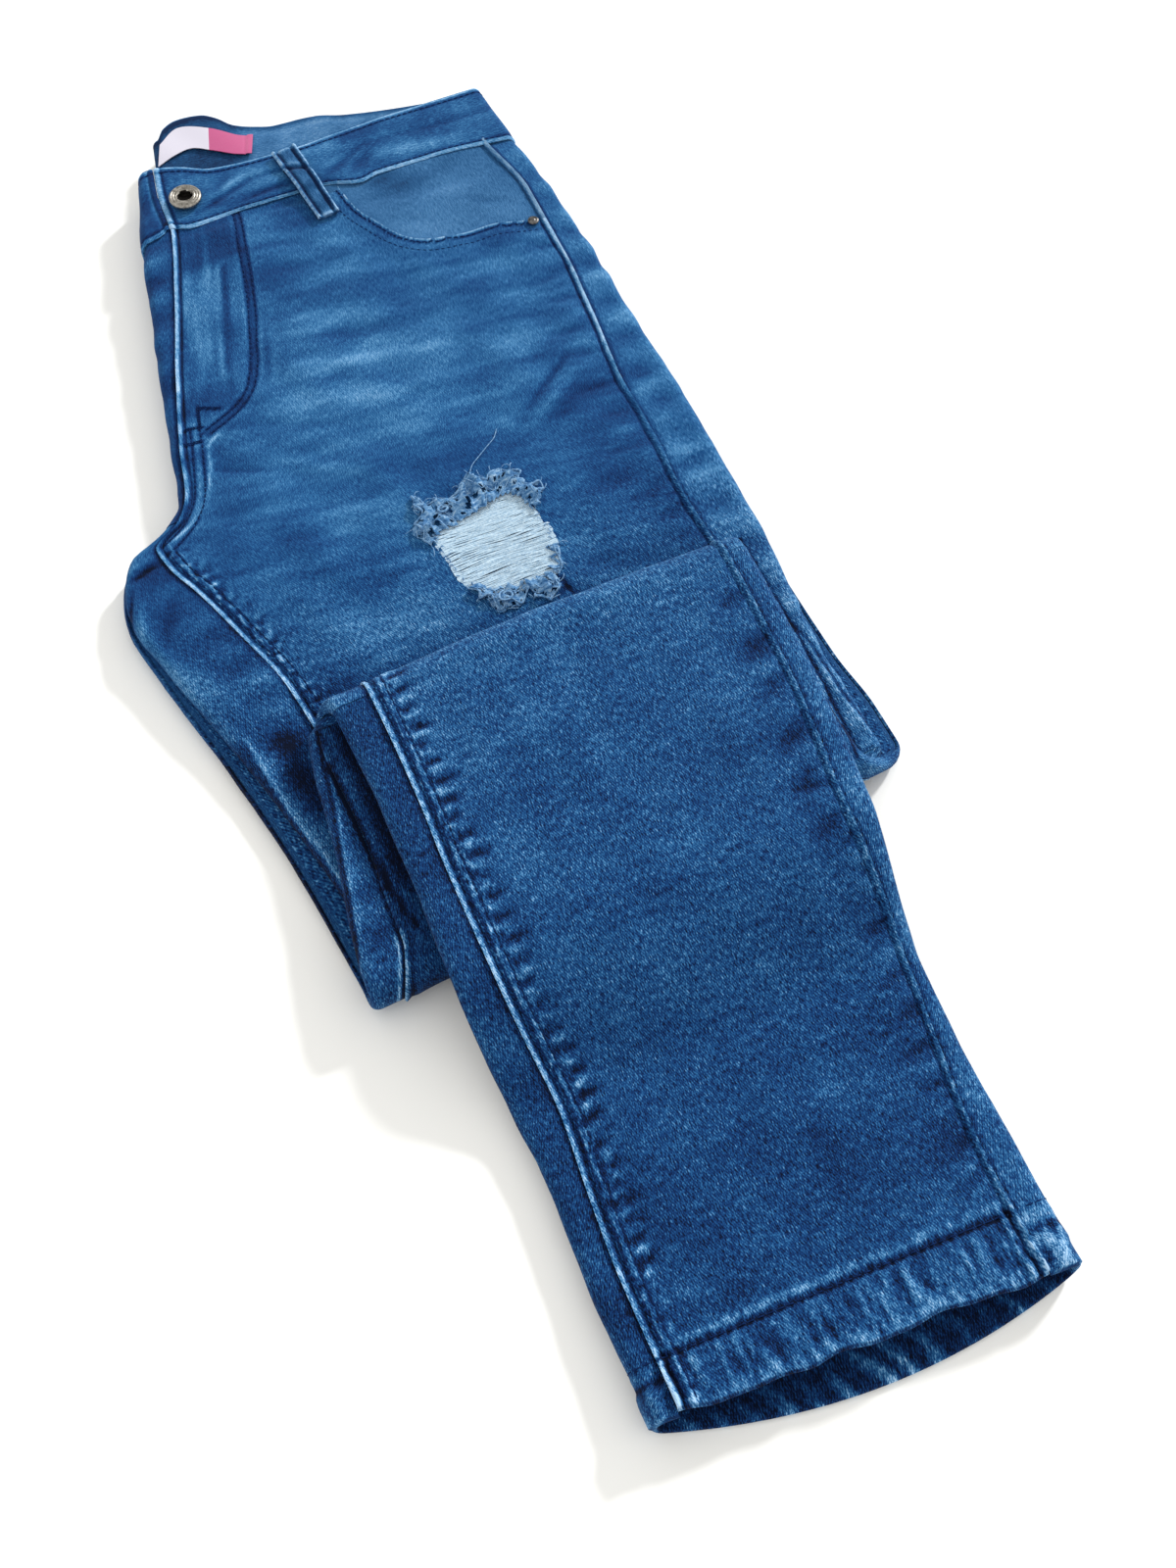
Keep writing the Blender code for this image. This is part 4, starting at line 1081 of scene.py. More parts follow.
RISE_RIM = trace(
    (-7.7, 15.75), (-8.3, 15.4), (-8.5, 14.8), (-8.75, 13.9), (-9.55, 12.15), (-10.4, 11.2),
    (-11.35, 10.65), (-12.45, 10.2))
POCKET_STITCH = POCKET_OPENING[:-1] + [Point(12.1, 22.9)]


def thigh_stitch_lines():
    lines = [offset(J_STITCH, 0.0), offset(J_STITCH, -ROW_GAP), offset(RISE_STITCH, 0.0),
             offset(RISE_STITCH, -0.5), offset(POCKET_STITCH, -0.2)]
    return lines + TACKS


THIGH_CREASES = creases(
    (-4.0, 17.9, 5.7, 16.7, 0.45, 0.05, 0.7), (-1.0, 15.0, 5.1, 14.5, 0.40, 0.04, 0.5),
    (-4.3, 18.6, 0.4, 17.5, 0.30, 0.03, 0.4), (-5.0, 16.0, 0.6, 15.0, 0.35, 0.04, 0.5),
    (-7.6, 14.6, -1.2, 10.1, 0.40, 0.05, 0.6), (-5.7, 9.4, -0.9, 8.0, 0.45, 0.04, 0.5),
    (5.3, 3.0, 12.0, 1.8, 0.40, 0.05, 0.5), (8.7, 6.8, 11.7, 6.5, 0.35, 0.05, 0.5),
    (-2.2, 25.9, 0.8, 24.9, 0.30, 0.03, 0.4), (-4.2, 20.1, 5.3, 18.5, 0.40, -0.05, -0.5),
    (-3.5, 12.5, 0.6, 12.1, 0.40, -0.04, -0.4), (-8.6, 13.8, -6.2, 12.6, 0.18, -0.09, -1.2),
    (-7.0, 8.6, -3.0, 6.7, 0.40, -0.04, -0.4), (-2.2, 26.9, 0.5, 26.0, 0.25, -0.03, -0.4),
    (-2.5, 25.1, 0.6, 24.2, 0.30, -0.03, -0.4), (-7.1, 16.1, -2.0, 13.9, 0.35, -0.05, -0.5),
    (7.3, 5.4, 10.5, 5.3, 0.40, -0.05, -0.5), (5.0, 1.7, 9.1, 0.7, 0.40, -0.05, -0.5),
    (10.1, 13.7, 6.9, 11.2, 0.20, -0.13, -1.3), (9.8, 12.3, 6.9, 10.4, 0.30, 0.06, 0.9),
    (9.5, 11.0, 7.5, 10.0, 0.45, -0.04, -0.7), (5.4, 10.9, 6.0, 10.5, 0.30, 0.03, 0.9),
    (4.3, 1.5, 4.75, 0.1, 0.10, -0.09, -4.0), (4.0, 0.35, 4.5, 0.75, 0.10, -0.05, -2.0))
INSEAM_THIGH_PUCKERS = puckers(31, 17.0, 32.0, 0.80, 0.45, 0.9, 0.06, 1.3, 0.16, 0.12)
SIDE_THIGH_PUCKERS = puckers(32, 1.5, 32.0, 2.1, 0.35, 2.2, 0.08, 0.8, 0.3, 0.5)


def make_left_front_thigh():
    d = steps((-0.9, 31.4, 0.16), (31.4, FOLD_2_AT - 1.0, 0.45))
    cloth = swept(d, left_front_line, shares(22.5, 0.165, 0.055, 0.9))
    relief_of_thigh(cloth)
    cloth.trim(RIP_OUTLINE)
    corner = [Point(13.6, POCKET_OPENING[-1].y - 0.2), Point(13.6, 30.4), Point(3.1, 30.4)]
    cloth.trim(np.array(list(curve_through(POCKET_OPENING, 0.1)) + corner))
    cloth_object("left_front_panel_thigh", cloth, [DENIM, REVERSE], ["left_front_panel"])
    return cloth


def hem_bow(s, h):
    """The hem's back reaches further out than its front."""
    return np.interp(s.y, HEM_BOW_Y, HEM_BOW) * (1 - ease(h / (0.85 * s.thick)))


def relief_of_hem(cloth, x, seed):
    """The turned-up hem: a stitched groove, a twisted band below it and a worn edge."""
    up = cloth.up
    band = ease((HEM_DEPTH + 0.02 - up) / 0.1)
    twist = np.sin((x + 0.2 * up + 0.3 * uneven(x, up, 1.1, seed)) * math.tau / 0.78)
    soft = (np.clip(0.5 + 0.5 * twist, 0, 1) ** 1.3 - 0.45) * (0.7 + 0.6 * uneven(x, up, 1.3, seed + 2))
    body = band * np.sin(math.pi * np.clip(up / HEM_DEPTH, 0, 1)) ** 0.6
    streaks = 0.6 * uneven(3.0 * x, up, 1.1, seed + 1) + 0.6 * uneven(9.0 * x, up, 1.2, seed + 3)
    groove, above = 1.35 * hump(up, HEM_DEPTH, 0.10), hump(up, HEM_DEPTH + 0.36, 0.2)
    edge = hump(up, 0.0, 0.45)
    dashes = 0.65 + 0.35 * np.sin(x * math.tau / 0.42 + 0.6 * uneven(x, up, 1.0, seed + 4))
    height = 0.10 * band + (0.08 * soft + 0.03 * streaks) * body - 0.16 * groove * dashes + 0.03 * above
    wear = (1.6 * soft + 1.3 * streaks + 0.55) * body - 4.2 * groove * dashes
    wear = wear + 1.9 * above * (0.8 + 0.6 * streaks)
    return height, wear + 1.9 * edge * (0.8 + 0.25 * twist + 0.4 * streaks)


def hem_corner(e, up, seed):
    """Where a seam runs into the hem: its layers pile up in lumps beside dark grooves."""
    band = ease((HEM_DEPTH + 0.25 - up) / 0.15)
    wavy = e + 0.06 * uneven(up, 0 * up, 0.5, seed)
    ridges = hump(wavy, 0.08, 0.11) + 0.8 * hump(wavy, 0.62, 0.14)
    grooves = hump(wavy, 0.34, 0.08) + 0.7 * hump(wavy, 0.92, 0.08)
    lumps = 0.5 + 0.5 * np.sin(up * math.tau / 0.75 + 1.2 * uneven(e, up, 0.6, seed + 1))
    height = (0.11 * ridges * (0.4 + 0.8 * lumps) - 0.08 * grooves) * band
    return height, (1.9 * ridges * (0.3 + 0.9 * lumps) - 2.1 * grooves) * band


def relief_of_lower_leg(cloth):
    x, y, e, far, run = cloth.px, cloth.py, cloth.side, cloth.far, cloth.run
    shown = ease((cloth.down - FOLD_2_AT - 0.2) / 0.6)
    face = cloth.face
    light = soft_spot(x, y, 2.0, -9.0, 5.0, 6.0)
    up = cloth.up
    across = np.clip((x + 6.0) / 17.0, 0, 1)
    crest = hump(cloth.down, FOLD_2_AT + 1.35, 0.9) * np.sin(math.pi * across) ** 0.8
    # rim: a painted highlight along the rounded top of fold 2
    rim = hump(cloth.down, FOLD_2_AT + 1.15, 0.22)
    shade = 0.35 * ease((y + 8.0) / 4.0) - 0.1 * light
    shade = shade - 0.55 * ease((-14.0 - y) / 16.0) - 0.1 * ease((x - 6.5) / 3.0)
    parts = [
        (0.05 * uneven(x, y, 3.5, 41) + 0.022 * uneven(x, y, 1.2, 42), mottled(x, y, 43, 0.22)),
        (0.26 * crest, shade + 0.8 * rim * (0.7 + 0.4 * uneven(x, y, 1.5, 47)) - 0.25),
        hem_corner(e, up, 48),
        hem_corner(far, up, 49),
        felled_seam(e, run, 44),
        seam_edge(far, run, 45, 0.10, 0.8 + 0.5 * ease((-18.0 - y) / 6.0), 0.3),
        creased(e, run, INSEAM_LOWER_PUCKERS),
        creased(far, run, SIDE_LOWER_PUCKERS),
        creased(x, y, LOWER_CREASES),
        relief_of_hem(cloth, x, 46),
    ]
    height, wear = summed(parts)
    # the turned-in rows of the hem are darker: unfaded cloth, and painted shade inside the hem
    cloth.shape(height * shown * face, wear - 1.6 * (1 - face))
    cloth.points[..., 1] += 0.13 * CM * uneven(x, 0 * x, 1.2, 50) * hump(up, 0.0, 1.2)


LOWER_CREASES = creases(
    (8.3, -31.8, 4.0, -33.2, 0.30, 0.05, 0.7), (8.8, -31.2, 6.2, -32.6, 0.25, -0.05, -0.7),
    (9.4, -28.5, 7.0, -30.2, 0.35, -0.05, -0.5), (9.6, -25.6, 7.4, -26.4, 0.35, -0.05, -0.5),
    (-5.0, -30.8, -3.4, -31.2, 0.30, 0.04, 0.6), (-4.8, -8.0, 0.5, -6.6, 0.5, 0.04, 0.3),
    (11.0, -4.1, 9.8, -4.5, 0.42, -0.10, -1.4), (11.0, -6.8, 9.8, -7.3, 0.45, -0.10, -1.5),
    (10.8, -9.0, 9.5, -9.5, 0.42, -0.10, -1.4), (10.6, -11.5, 9.2, -12.1, 0.48, -0.11, -1.6),
    (10.2, -13.4, 8.9, -14.2, 0.42, -0.10, -1.4), (10.1, -15.7, 8.6, -16.6, 0.42, -0.10, -1.3),
    (10.9, -5.6, 10.2, -5.8, 0.30, 0.05, 0.5), (10.9, -8.1, 10.0, -8.3, 0.30, 0.05, 0.5),
    (3.0, -9.8, 7.6, -8.2, 0.5, 0.03, 0.2), (1.5, -13.6, 5.6, -12.6, 0.7, -0.02, -0.3))
INSEAM_LOWER_PUCKERS = puckers(51, 2.0, 33.0, 0.92, 0.85, 1.0, 0.12, 2.4, 0.17, 0.08)
SIDE_LOWER_PUCKERS = puckers(52, 17.0, 33.0, 2.0, 0.15, 1.5, 0.10, 1.2, 0.24, 0.4)


SWELL_OUTER, SWELL_INNER = 0.34, 0.40      # how far each side is moved, in cm


def swell_outward(cloth):
    """Halfway down the lower leg both its sides lie a little further towards the side seam."""
    outer = ease((7.0 - cloth.far) / 6.0) * hump(cloth.py, -22.3, 4.6)
    inner = ease((7.0 - cloth.side) / 6.0) * hump(cloth.py, -22.0, 3.6)
    cloth.points[..., 0] += CM * (SWELL_OUTER * outer + SWELL_INNER * inner)


def make_left_front_lower():
    d = steps((FOLD_2_AT - 1.0, LOWER_AT + 0.4, 0.1), (LOWER_AT + 0.4, HEM_AT, 0.165))
    rows = hem_rows(d)
    cloth = swept(rows.d, left_front_line, shares(17.2, 0.155, 0.055, 0.9), drop=rows.drop,
                  reach=rows.reach, face=rows.face)
    relief_of_lower_leg(cloth)
    swell_outward(cloth)
    cloth_object("left_front_panel_lower", cloth, [DENIM, REVERSE], ["left_front_panel"])
    return cloth


# ---------------------------------------------------------------- back and side strips

def relief_of_strip(cloth, seed, free, wear_base, rim, lumps):
    """A back panel beside a seam: uneven, with painted shade in the groove by the seam and painted light
    along its folded edge. free is 0 where the strip has to stay flat."""
    e, run = cloth.side, cloth.run
    height = 0.03 * uneven(e, run, 2.2, seed) + 0.015 * uneven(e, run, 0.9, seed + 1)
    wear = wear_base + 0.35 * uneven(e, run, 1.8, seed + 2)
    wear = wear - 2.2 * hump(e, 0.05, 0.10) + rim * hump(cloth.far, 0.7, 0.5)
    along = creased(e, run, puckers(seed + 3, 1.0, float(run.max()), 2.2, 0.3, 2.4, lumps, 0.8, 0.5, 0.4))
    height, wear = height + along[0], wear + along[1]
    ends = ease(cloth.far / 0.5)
    cloth.shape(height * free * ends - 0.09 * (1 - ease(cloth.down / 0.4)) * free, wear)


def strip(name, d, path, width, seed, free, wear, rim, coarse=0.16, extra=None, lumps=0.04):
    """A narrow part of a back panel; extra adds what only this one shows."""
    cloth = swept(d, path, shares(width, coarse))
    relief_of_strip(cloth, seed, free(cloth), wear, rim, lumps)
    if extra is not None:
        cloth.shape(*extra(cloth))
    cloth_object(name, cloth, [DENIM, REVERSE], [name])


def all_free(cloth):
    return 1.0


def all_flat(cloth):
    return 0.0


CROTCH_AT = 17.62         # where the back panels start beside the inseam
FINE_LEFT, FINE_RIGHT = (41.5, 45.5, 0.12), (40.8, 46.0, 0.12)     # close rows round fold 1


def off_the_floor(cloth):
    """1 where a sheet isn't on its flat underside."""
    return ease((cloth.points[..., 2] / CM - 0.1) / 0.4)


def make_left_back_strips():
    last = (FOLD_2_AT - 0.2, LOWER_AT, 0.12)
    d = steps((CROTCH_AT, 41.5, 0.2), FINE_LEFT, (45.5, FOLD_2_AT - 0.2, 0.25), last)
    strip("left_back_panel_inseam", d, left_back_line("in"), 4.2, 61, all_free, -0.35, 1.1,
          extra=beside_crotch)
    d = steps((-0.7, 41.5, 0.25), FINE_LEFT, (45.5, FOLD_2_AT - 0.2, 0.3), last)
    strip("left_back_panel_side", d, left_back_line("out"), 3.0, 71, all_free, 0.45, 0.5,
          extra=under_the_stack, lumps=0.08)


def make_left_back_lower():
    d = steps((LOWER_AT + 0.02, HEM_AT, 0.25))
    rows = hem_rows(d)
    cloth = swept(rows.d, left_tube_line, shares(22.5, 0.25), drop=rows.drop, reach=rows.reach,
                  bow=hem_bow, face=rows.face)
    x, run = cloth.px, cloth.run
    face = cloth.face
    free = off_the_floor(cloth) * face
    edge = np.minimum(cloth.side, cloth.far)
    wear = 0.35 * uneven(cloth.side, run, 1.8, 81) - 2.2 * hump(edge, 0.05, 0.09) + 0.6 * hump(edge, 1.5, 0.3)
    wear = wear - 1.0 * ease((9.0 - cloth.side) / 3.0) + 0.1 * ease((5.0 - cloth.far) / 3.0)
    up = cloth.up
    lumps = summed([hem_corner(e, up, 84 + i) for i, e in enumerate((cloth.side, cloth.far))])
    wear = wear + lumps[1]
    slant = x + 0.5 * up + 0.2 * uneven(x, up, 1.0, 86)
    inner = 0.7 * np.sin(slant * math.tau / 1.25) + 0.4 * uneven(1.5 * x + 0.75 * up, 0.3 * up, 1.1, 87)
    inner = (1 - face) * (np.clip(inner, 0, 1) * hump(up, 0.0, 1.6) + 0.25 * hump(up, 0.0, 0.35))
    height = 0.02 * uneven(cloth.side, run, 1.5, 82)
    low = relief_of_hem(cloth, x, 83)
    height = height + low[0] * ease(edge / 0.2) + lumps[0]
    # the turned-in rows are darker, unfaded cloth and painted shade inside the hem, with pale streaks fading
    # in from its edge
    cloth.shape(height * free, (wear + low[1]) * face + 4.6 * inner - 2.2 * (1 - face))
    swell_outward(cloth)
    cloth_object("left_back_panel_lower", cloth, [DENIM, REVERSE], ["left_back_panel_lower"])
    return cloth


# ---------------------------------------------------------------- right leg

def relief_of_middle(cloth, seed):
    """The right leg where the middle layer shows beside the top one, darkened with painted shade."""
    x, y, run = cloth.px, cloth.py, cloth.run
    shown = ease((cloth.down - FOLD_1_AT + 1.5) / 1.5) * ease((FOLD_2_AT - cloth.down) / 0.6)
    height = 0.03 * uneven(x, y, 2.2, seed) * shown
    # the middle layer is darkened overall as painted shade under the top layer
    wear = mottled(cloth.side, run, seed + 1, 0.3) - 1.2
    return height, wear, shown


# Lines along which light and shade are painted: the middle layer's lit edge and the shadowed crease between
# its plies, the lit edge of the strip beneath it, the side strip's shadowed lines where it runs under the
# stack, the shadowed line between the plies on the right, and the darkest hollow.
MID_EDGE = trace(
    (-8.6, -2.4), (-9.04, -4.35), (-9.26, -6.0), (-9.78, -8.5), (-10.18, -10.7), (-10.62, -12.9),
    (-11.0, -14.1))
MID_CREASE = trace((-9.1, -4.6), (-9.0, -5.8), (-8.9, -7.9), (-8.75, -10.0), (-8.5, -11.9), (-8.2, -13.2))
LIT_EDGE = trace((-11.9, -1.2), (-11.5, -3.8), (-11.2, -5.7), (-10.65, -7.8), (-10.35, -9.4))
PAGE_EDGE = trace(
    (13.2, 0.0), (13.25, -2.0), (13.3, -4.4), (13.3, -6.8), (13.22, -8.9), (13.1, -10.5), (12.95, -13.0))
PAGE_OUTER = trace((13.35, -5.3), (13.7, -6.9), (13.8, -9.0), (14.0, -10.6), (14.2, -11.9))
PAGE_INNER = trace((12.57, -9.6), (12.58, -12.1), (12.38, -13.3))
HOLLOW = trace((-10.3, -2.2), (-10.3, -4.0), (-10.05, -5.2))
HOLLOW_DARK = 2.6


def beyond(x, y, line_points, soft=0.12):
    """1 to the left of a line that runs down the leg, 0 to its right."""
    xs, ys = zip(*line_points[::-1])
    edge = np.interp(y, ys, xs)
    return ease((edge - 0.06 - x) / soft) * ease((max(ys) + 0.6 - y) / 1.2)


def fold_line(x, y, line_points, height, wear, width=0.09):
    away = line_distance(x, y, curve_through(line_points, 0.3))[0]
    return height * hump(away, 0.0, 1.4 * width), wear * hump(away, 0.0, width)


def moved(line_points, away):
    return [Point(p.x + away, p.y) for p in line_points]


def middle_folds(cloth):
    """The middle layer's edge with a painted highlight, painted shade beyond it, and a painted shadow line
    between its plies with a painted highlight on the bank beside it.
    """
    x, y = cloth.px, cloth.py
    middle = ease((cloth.down - FOLD_1_AT - 0.7 * FOLD_LENGTH) / 0.5)
    # edge is a painted highlight, gap a painted shadow in the crease between the plies, bank a painted
    # highlight beside it, dark painted shade beyond the edge
    edge = fold_line(x, y, MID_EDGE, 0.05, 1.1, 0.06)
    painted_gap_shade = fold_line(x, y, MID_CREASE, -0.08, -3.4, 0.12)
    bank = fold_line(x, y, moved(MID_CREASE, 0.28), 0.05, 0.5, 0.14)
    dark = -0.5 * beyond(x, y, MID_EDGE) - fold_line(x, y, moved(MID_EDGE, -0.22), 0, 2.0, 0.10)[1]
    return (edge[0] + painted_gap_shade[0] + bank[0]) * middle, (edge[1] + painted_gap_shade[1] + bank[1] + dark) * middle


def beside_middle_seam(cloth):
    """The strip next to the middle layer's seam; at fold 1 the seam's pale edge shows. It is darker in the
    middle layer, and painted shade darkens it where it runs under the folds before fold 1.
    """
    e, y = cloth.side, cloth.py
    middle = ease((cloth.down - FOLD_1_AT) / 0.8)
    # under: painted shade where the strip runs under the stacked folds
    under = ease((FOLD_1_AT - 0.5 - cloth.down) / 1.5) * ease((0.5 - y) / 3.0)
    near = ease((-12.9 - y) / 0.5) * ease((FOLD_2_AT - cloth.down) / 4.0)
    folds = middle_folds(cloth)
    wear = (-0.6 + (3.4 * hump(e, 0.26, 0.09) - 1.2 * hump(e, 0.05, 0.08)) * near) * middle - 2.4 * under
    return folds[0], wear + folds[1]


CROTCH_TUCKS = creases(
    (-12.7, 9.5, -14.2, 9.1, 0.14, -0.12, -3.0), (-12.9, 9.95, -14.0, 9.75, 0.12, 0.05, 1.6),
    (-14.35, 8.5, -15.2, 6.2, 0.15, -0.10, -2.6), (-14.0, 7.6, -14.7, 5.6, 0.2, 0.05, 0.9),
    (-12.6, 7.3, -13.8, 5.0, 0.35, -0.05, -0.9), (-13.2, 3.6, -11.4, -0.4, 0.4, 0.05, 0.6))


def beside_crotch(cloth):
    """Where the inseam starts, the strip's cloth is tucked under in a few sharp creases. Further
    down its folded edge has a painted highlight, with painted shade beyond it and in the hollow under the
    middle layer."""
    x, y = cloth.px, cloth.py
    tucks = creased(x, y, CROTCH_TUCKS)
    thigh_part = ease((FOLD_1_AT - cloth.down) / 0.5)
    lit = fold_line(x, y, LIT_EDGE, 0.04, 0.9, 0.12)
    away = line_distance(x, y, HOLLOW)[0]
    wear = lit[1] - 2.4 * beyond(x, y, LIT_EDGE) - HOLLOW_DARK * hump(away, 0.0, 0.65)
    return tucks[0] + lit[0] * thigh_part, tucks[1] + wear * thigh_part


def under_the_stack(cloth):
    """Painted shade in dark lines where the side strip runs under the folds on top of it, each beside a pale
    rim.
    """
    x, y = cloth.px, cloth.py
    thigh_part = ease((FOLD_1_AT + 0.5 - cloth.down) / 0.5)
    height, wear = 0 * x, 0 * x
    for page, dark in ((PAGE_EDGE, -3.8), (PAGE_OUTER, -3.0)):
        inner = fold_line(x, y, page, -0.06, dark, 0.09)
        rim = fold_line(x, y, moved(page, -0.2), 0.04, 1.0, 0.1)
        height, wear = height + inner[0] + rim[0], wear + inner[1] + rim[1]
    return height * thigh_part * off_the_floor(cloth), wear * thigh_part


def beside_outer_page(cloth):
    """A painted shadow line between the middle layer's plies on the right."""
    middle = ease((cloth.down - FOLD_1_AT) / 0.8)
    height, wear = fold_line(cloth.px, cloth.py, PAGE_INNER, -0.04, -3.0, 0.09)
    return height * middle, wear * middle


def make_right_leg():
    d = steps((0.0, 40.8, 0.6), FINE_RIGHT, (46.0, FOLD_2_AT - 0.3, 0.22),
              (FOLD_2_AT - 0.3, LOWER_AT + 0.3, 0.15), (LOWER_AT + 0.3, RIGHT_HEM_AT, 0.6))
    front = swept(d, right_front_line, shares(18.0, 0.22))
    height, wear, shown = relief_of_middle(front, 91)
    edges = summed([seam_edge(e, front.run, 92 + i, 0.06, 2.8, 2.4)
                    for i, e in enumerate((front.side, front.far))])
    near = 0.1 + 0.9 * ease((-12.9 - front.py) / 0.5)
    bank = 0.10 * hump(front.side, 0.0, 0.9) * ease((FOLD_2_AT + 1.0 - front.down) / 2.0)
    # painted shadow under the top layer's overhanging left edge
    painted_gap_shade = ease((front.px + 8.5) / 0.6) * ease((-3.0 - front.px) / 1.0) * ease((front.py + 12.2) / 2.5)
    wear = wear + edges[1] * near + 0.1 - 2.2 * painted_gap_shade * shown
    folds = middle_folds(front)
    raised = (height + (edges[0] + bank) * shown + folds[0]) * off_the_floor(front)
    front.shape(raised, wear + folds[1])
    cloth_object("right_front_panel", front, [DENIM, REVERSE], ["right_front_panel"])
    strip("right_front_fly", steps((-0.8, CROTCH_AT - 0.07, 0.2)), right_fly_line, 6.0, 101,
          off_the_floor, -0.3, 0.0, 0.2)
    d = steps((CROTCH_AT, 40.8, 0.25), FINE_RIGHT, (46.0, FOLD_2_AT, 0.22), (FOLD_2_AT, LOWER_AT, 0.2))
    strip("right_back_panel_inseam", d, right_back_line("in"), 3.2, 111, off_the_floor, -0.3, 1.0,
          extra=beside_middle_seam)
    strip("right_back_panel_side", steps((-0.7, 40.8, 0.3), FINE_RIGHT, (46.0, LOWER_AT, 0.3)),
          right_back_line("out"), 3.0, 121, off_the_floor, 0.15, 0.3, extra=beside_outer_page, lumps=0.05)
    strip("right_back_panel_lower", steps((LOWER_AT + 0.02, RIGHT_HEM_AT, 0.6)), right_lower_back_line,
          17.0, 131, all_flat, -0.8, 0.0, 0.5)


def make_core():
    """The hidden layers, one closed rounded form of denim."""
    d = steps((0.0, 41.0, 1.0), (41.0, 46.0, 0.3), (46.0, FOLD_2_AT, 1.0), (FOLD_2_AT, LOWER_AT, 0.2))
    s = stations(d)
    x, h = core_line(s)
    points = place(s, x, h)
    n, m = points.shape[:2]
    made = new_object("folded_layers", points.reshape(-1, 3), tube_faces(n, m), [DENIM])
    uv = np.stack([np.tile(np.arange(m) * 0.005, n), np.repeat(d * CM, m)], axis=-1)
    set_cloth_layers(made.data, uv, np.full(n * m, -0.4))
    only(made)
    bpy.ops.object.mode_set(mode="EDIT")
    bpy.ops.mesh.select_all(action="SELECT")
    bpy.ops.mesh.normals_make_consistent(inside=False)
    bpy.ops.object.mode_set(mode="OBJECT")
    return finish_piece(made, ["folded_layers"])


# ---------------------------------------------------------------- waistband and what is sewn to it

BAND_ROUND = BAND_PLY / 2
BAND_LIFT = SKIN + 0.05
BAND_TOP = trace(
    (-7.9, 33.9), (-5.5, 34.15), (-4.2, 33.75), (-2.6, 32.95), (-0.4, 32.7), (2.1, 32.6), (4.2, 32.8),
    (7.8, 33.0), (13.6, 33.2))
BAND_SEAM = trace(
    (-7.9, 29.05), (-6.5, 29.35), (-5.9, 29.7), (-4.75, 29.3), (-3.1, 29.4), (-1.4, 29.5), (2.6, 29.5),
    (4.6, 28.9), (5.6, 29.15), (8.7, 29.2), (13.6, 28.85))
BAND_START = WAIST_Y - 33.4
BAND_CREASES = creases(
    (-4.2, 30.1, -0.9, 31.4, 0.16, -0.07, -1.1), (-0.9, 31.4, 2.1, 31.4, 0.16, -0.06, -0.9),
    (-2.6, 29.9, 0.5, 30.4, 0.14, -0.05, -0.9), (-3.0, 30.9, -1.2, 31.8, 0.20, 0.05, 0.7),
    (-1.5, 30.3, 1.8, 30.3, 0.22, -0.05, -0.7), (1.8, 30.2, 3.2, 29.6, 0.20, -0.05, -0.7),
    (3.0, 30.1, 5.6, 31.5, 0.20, -0.06, -0.8), (5.6, 31.5, 12.7, 31.3, 0.18, -0.04, -0.6),
    (4.6, 30.1, 5.6, 30.6, 0.30, -0.06, -0.9), (-0.6, 31.6, 4.0, 31.9, 0.40, 0.05, 0.4),
    (6.0, 30.3, 12.0, 30.1, 0.40, 0.04, 0.4), (-3.6, 31.0, -1.5, 31.6, 0.35, 0.04, 0.4),
    (-6.9, 30.8, -6.3, 32.6, 0.25, -0.05, -0.5), (-3.2, 30.4, -2.0, 32.4, 0.3, -0.05, -0.5))


def fit_band(cloth):
    """Lets the band's edges run as they lie: highest at the button, lowest by the belt loop."""
    x, y = cloth.px, cloth.py
    top = smooth(*zip(*BAND_TOP), x)
    seam = smooth(*zip(*BAND_SEAM), x)
    share = (y - WAIST_Y) / (WAIST_Y - BAND_START - WAIST_Y)
    cloth.points[..., 1] = (seam + share * (top - seam)) * CM
    cloth.measure()


def relief_of_band(cloth, seed, base=-0.2, end=1.0):
    x, y, e = cloth.px, cloth.py, cloth.side
    face = cloth.face
    free = off_the_floor(cloth)
    down = cloth.run - cloth.run[cloth.face_rows][0]
    up = cloth.run[-1:] - cloth.run
    folds = creased(x, y, BAND_CREASES)
    height = 0.02 * uneven(x, y, 1.6, seed) + folds[0]
    wear = base + mottled(x, y, seed + 1, 0.32, 0.4) + 1.2 * folds[1]
    wear = wear + 2.6 * hump(down, 0.0, 0.10) - 1.3 * hump(down, 0.28, 0.09)
    wear = wear + 2.4 * hump(up, 0.07, 0.10) - 1.6 * hump(up, 0.28, 0.08)
    height = height - 0.04 * hump(up, 0.28, 0.1) - 0.03 * hump(down, 0.3, 0.1)
    height = height - 0.09 * hump(up, 0.0, 0.06)
    wear = wear + end * (2.0 * np.exp(-(np.abs(e - 0.12) / 0.19) ** 6) - 2.0 * hump(e, 0.40, 0.08))
    height = height + 0.05 * np.exp(-(np.maximum(e - 0.1, 0) / 0.15) ** 4) - 0.05 * hump(e, 0.38, 0.08)
    closing = -0.065 * hump(e, 0.0, 0.06)
    cloth.shape(height * face * free + closing * free, wear * face - 0.6 * (1 - face))


def make_front_band(name, path, width, base, seed, end):
    d = steps((BAND_START, 0.0, 0.15))
    rows = top_rows(d, 3.6, BAND_ROUND)
    cloth = swept(rows.d, path, shares(width, 0.16, 0.06, 0.4, "start"), lift=BAND_LIFT,
                  drop=rows.drop, reach=rows.reach, rows=BAND, knots=BAND_AT, face=rows.face)
    fit_band(cloth)
    relief_of_band(cloth, seed, base, end)
    cloth_object(name, cloth, [DENIM, REVERSE], [name], weft_along=True)
    return cloth


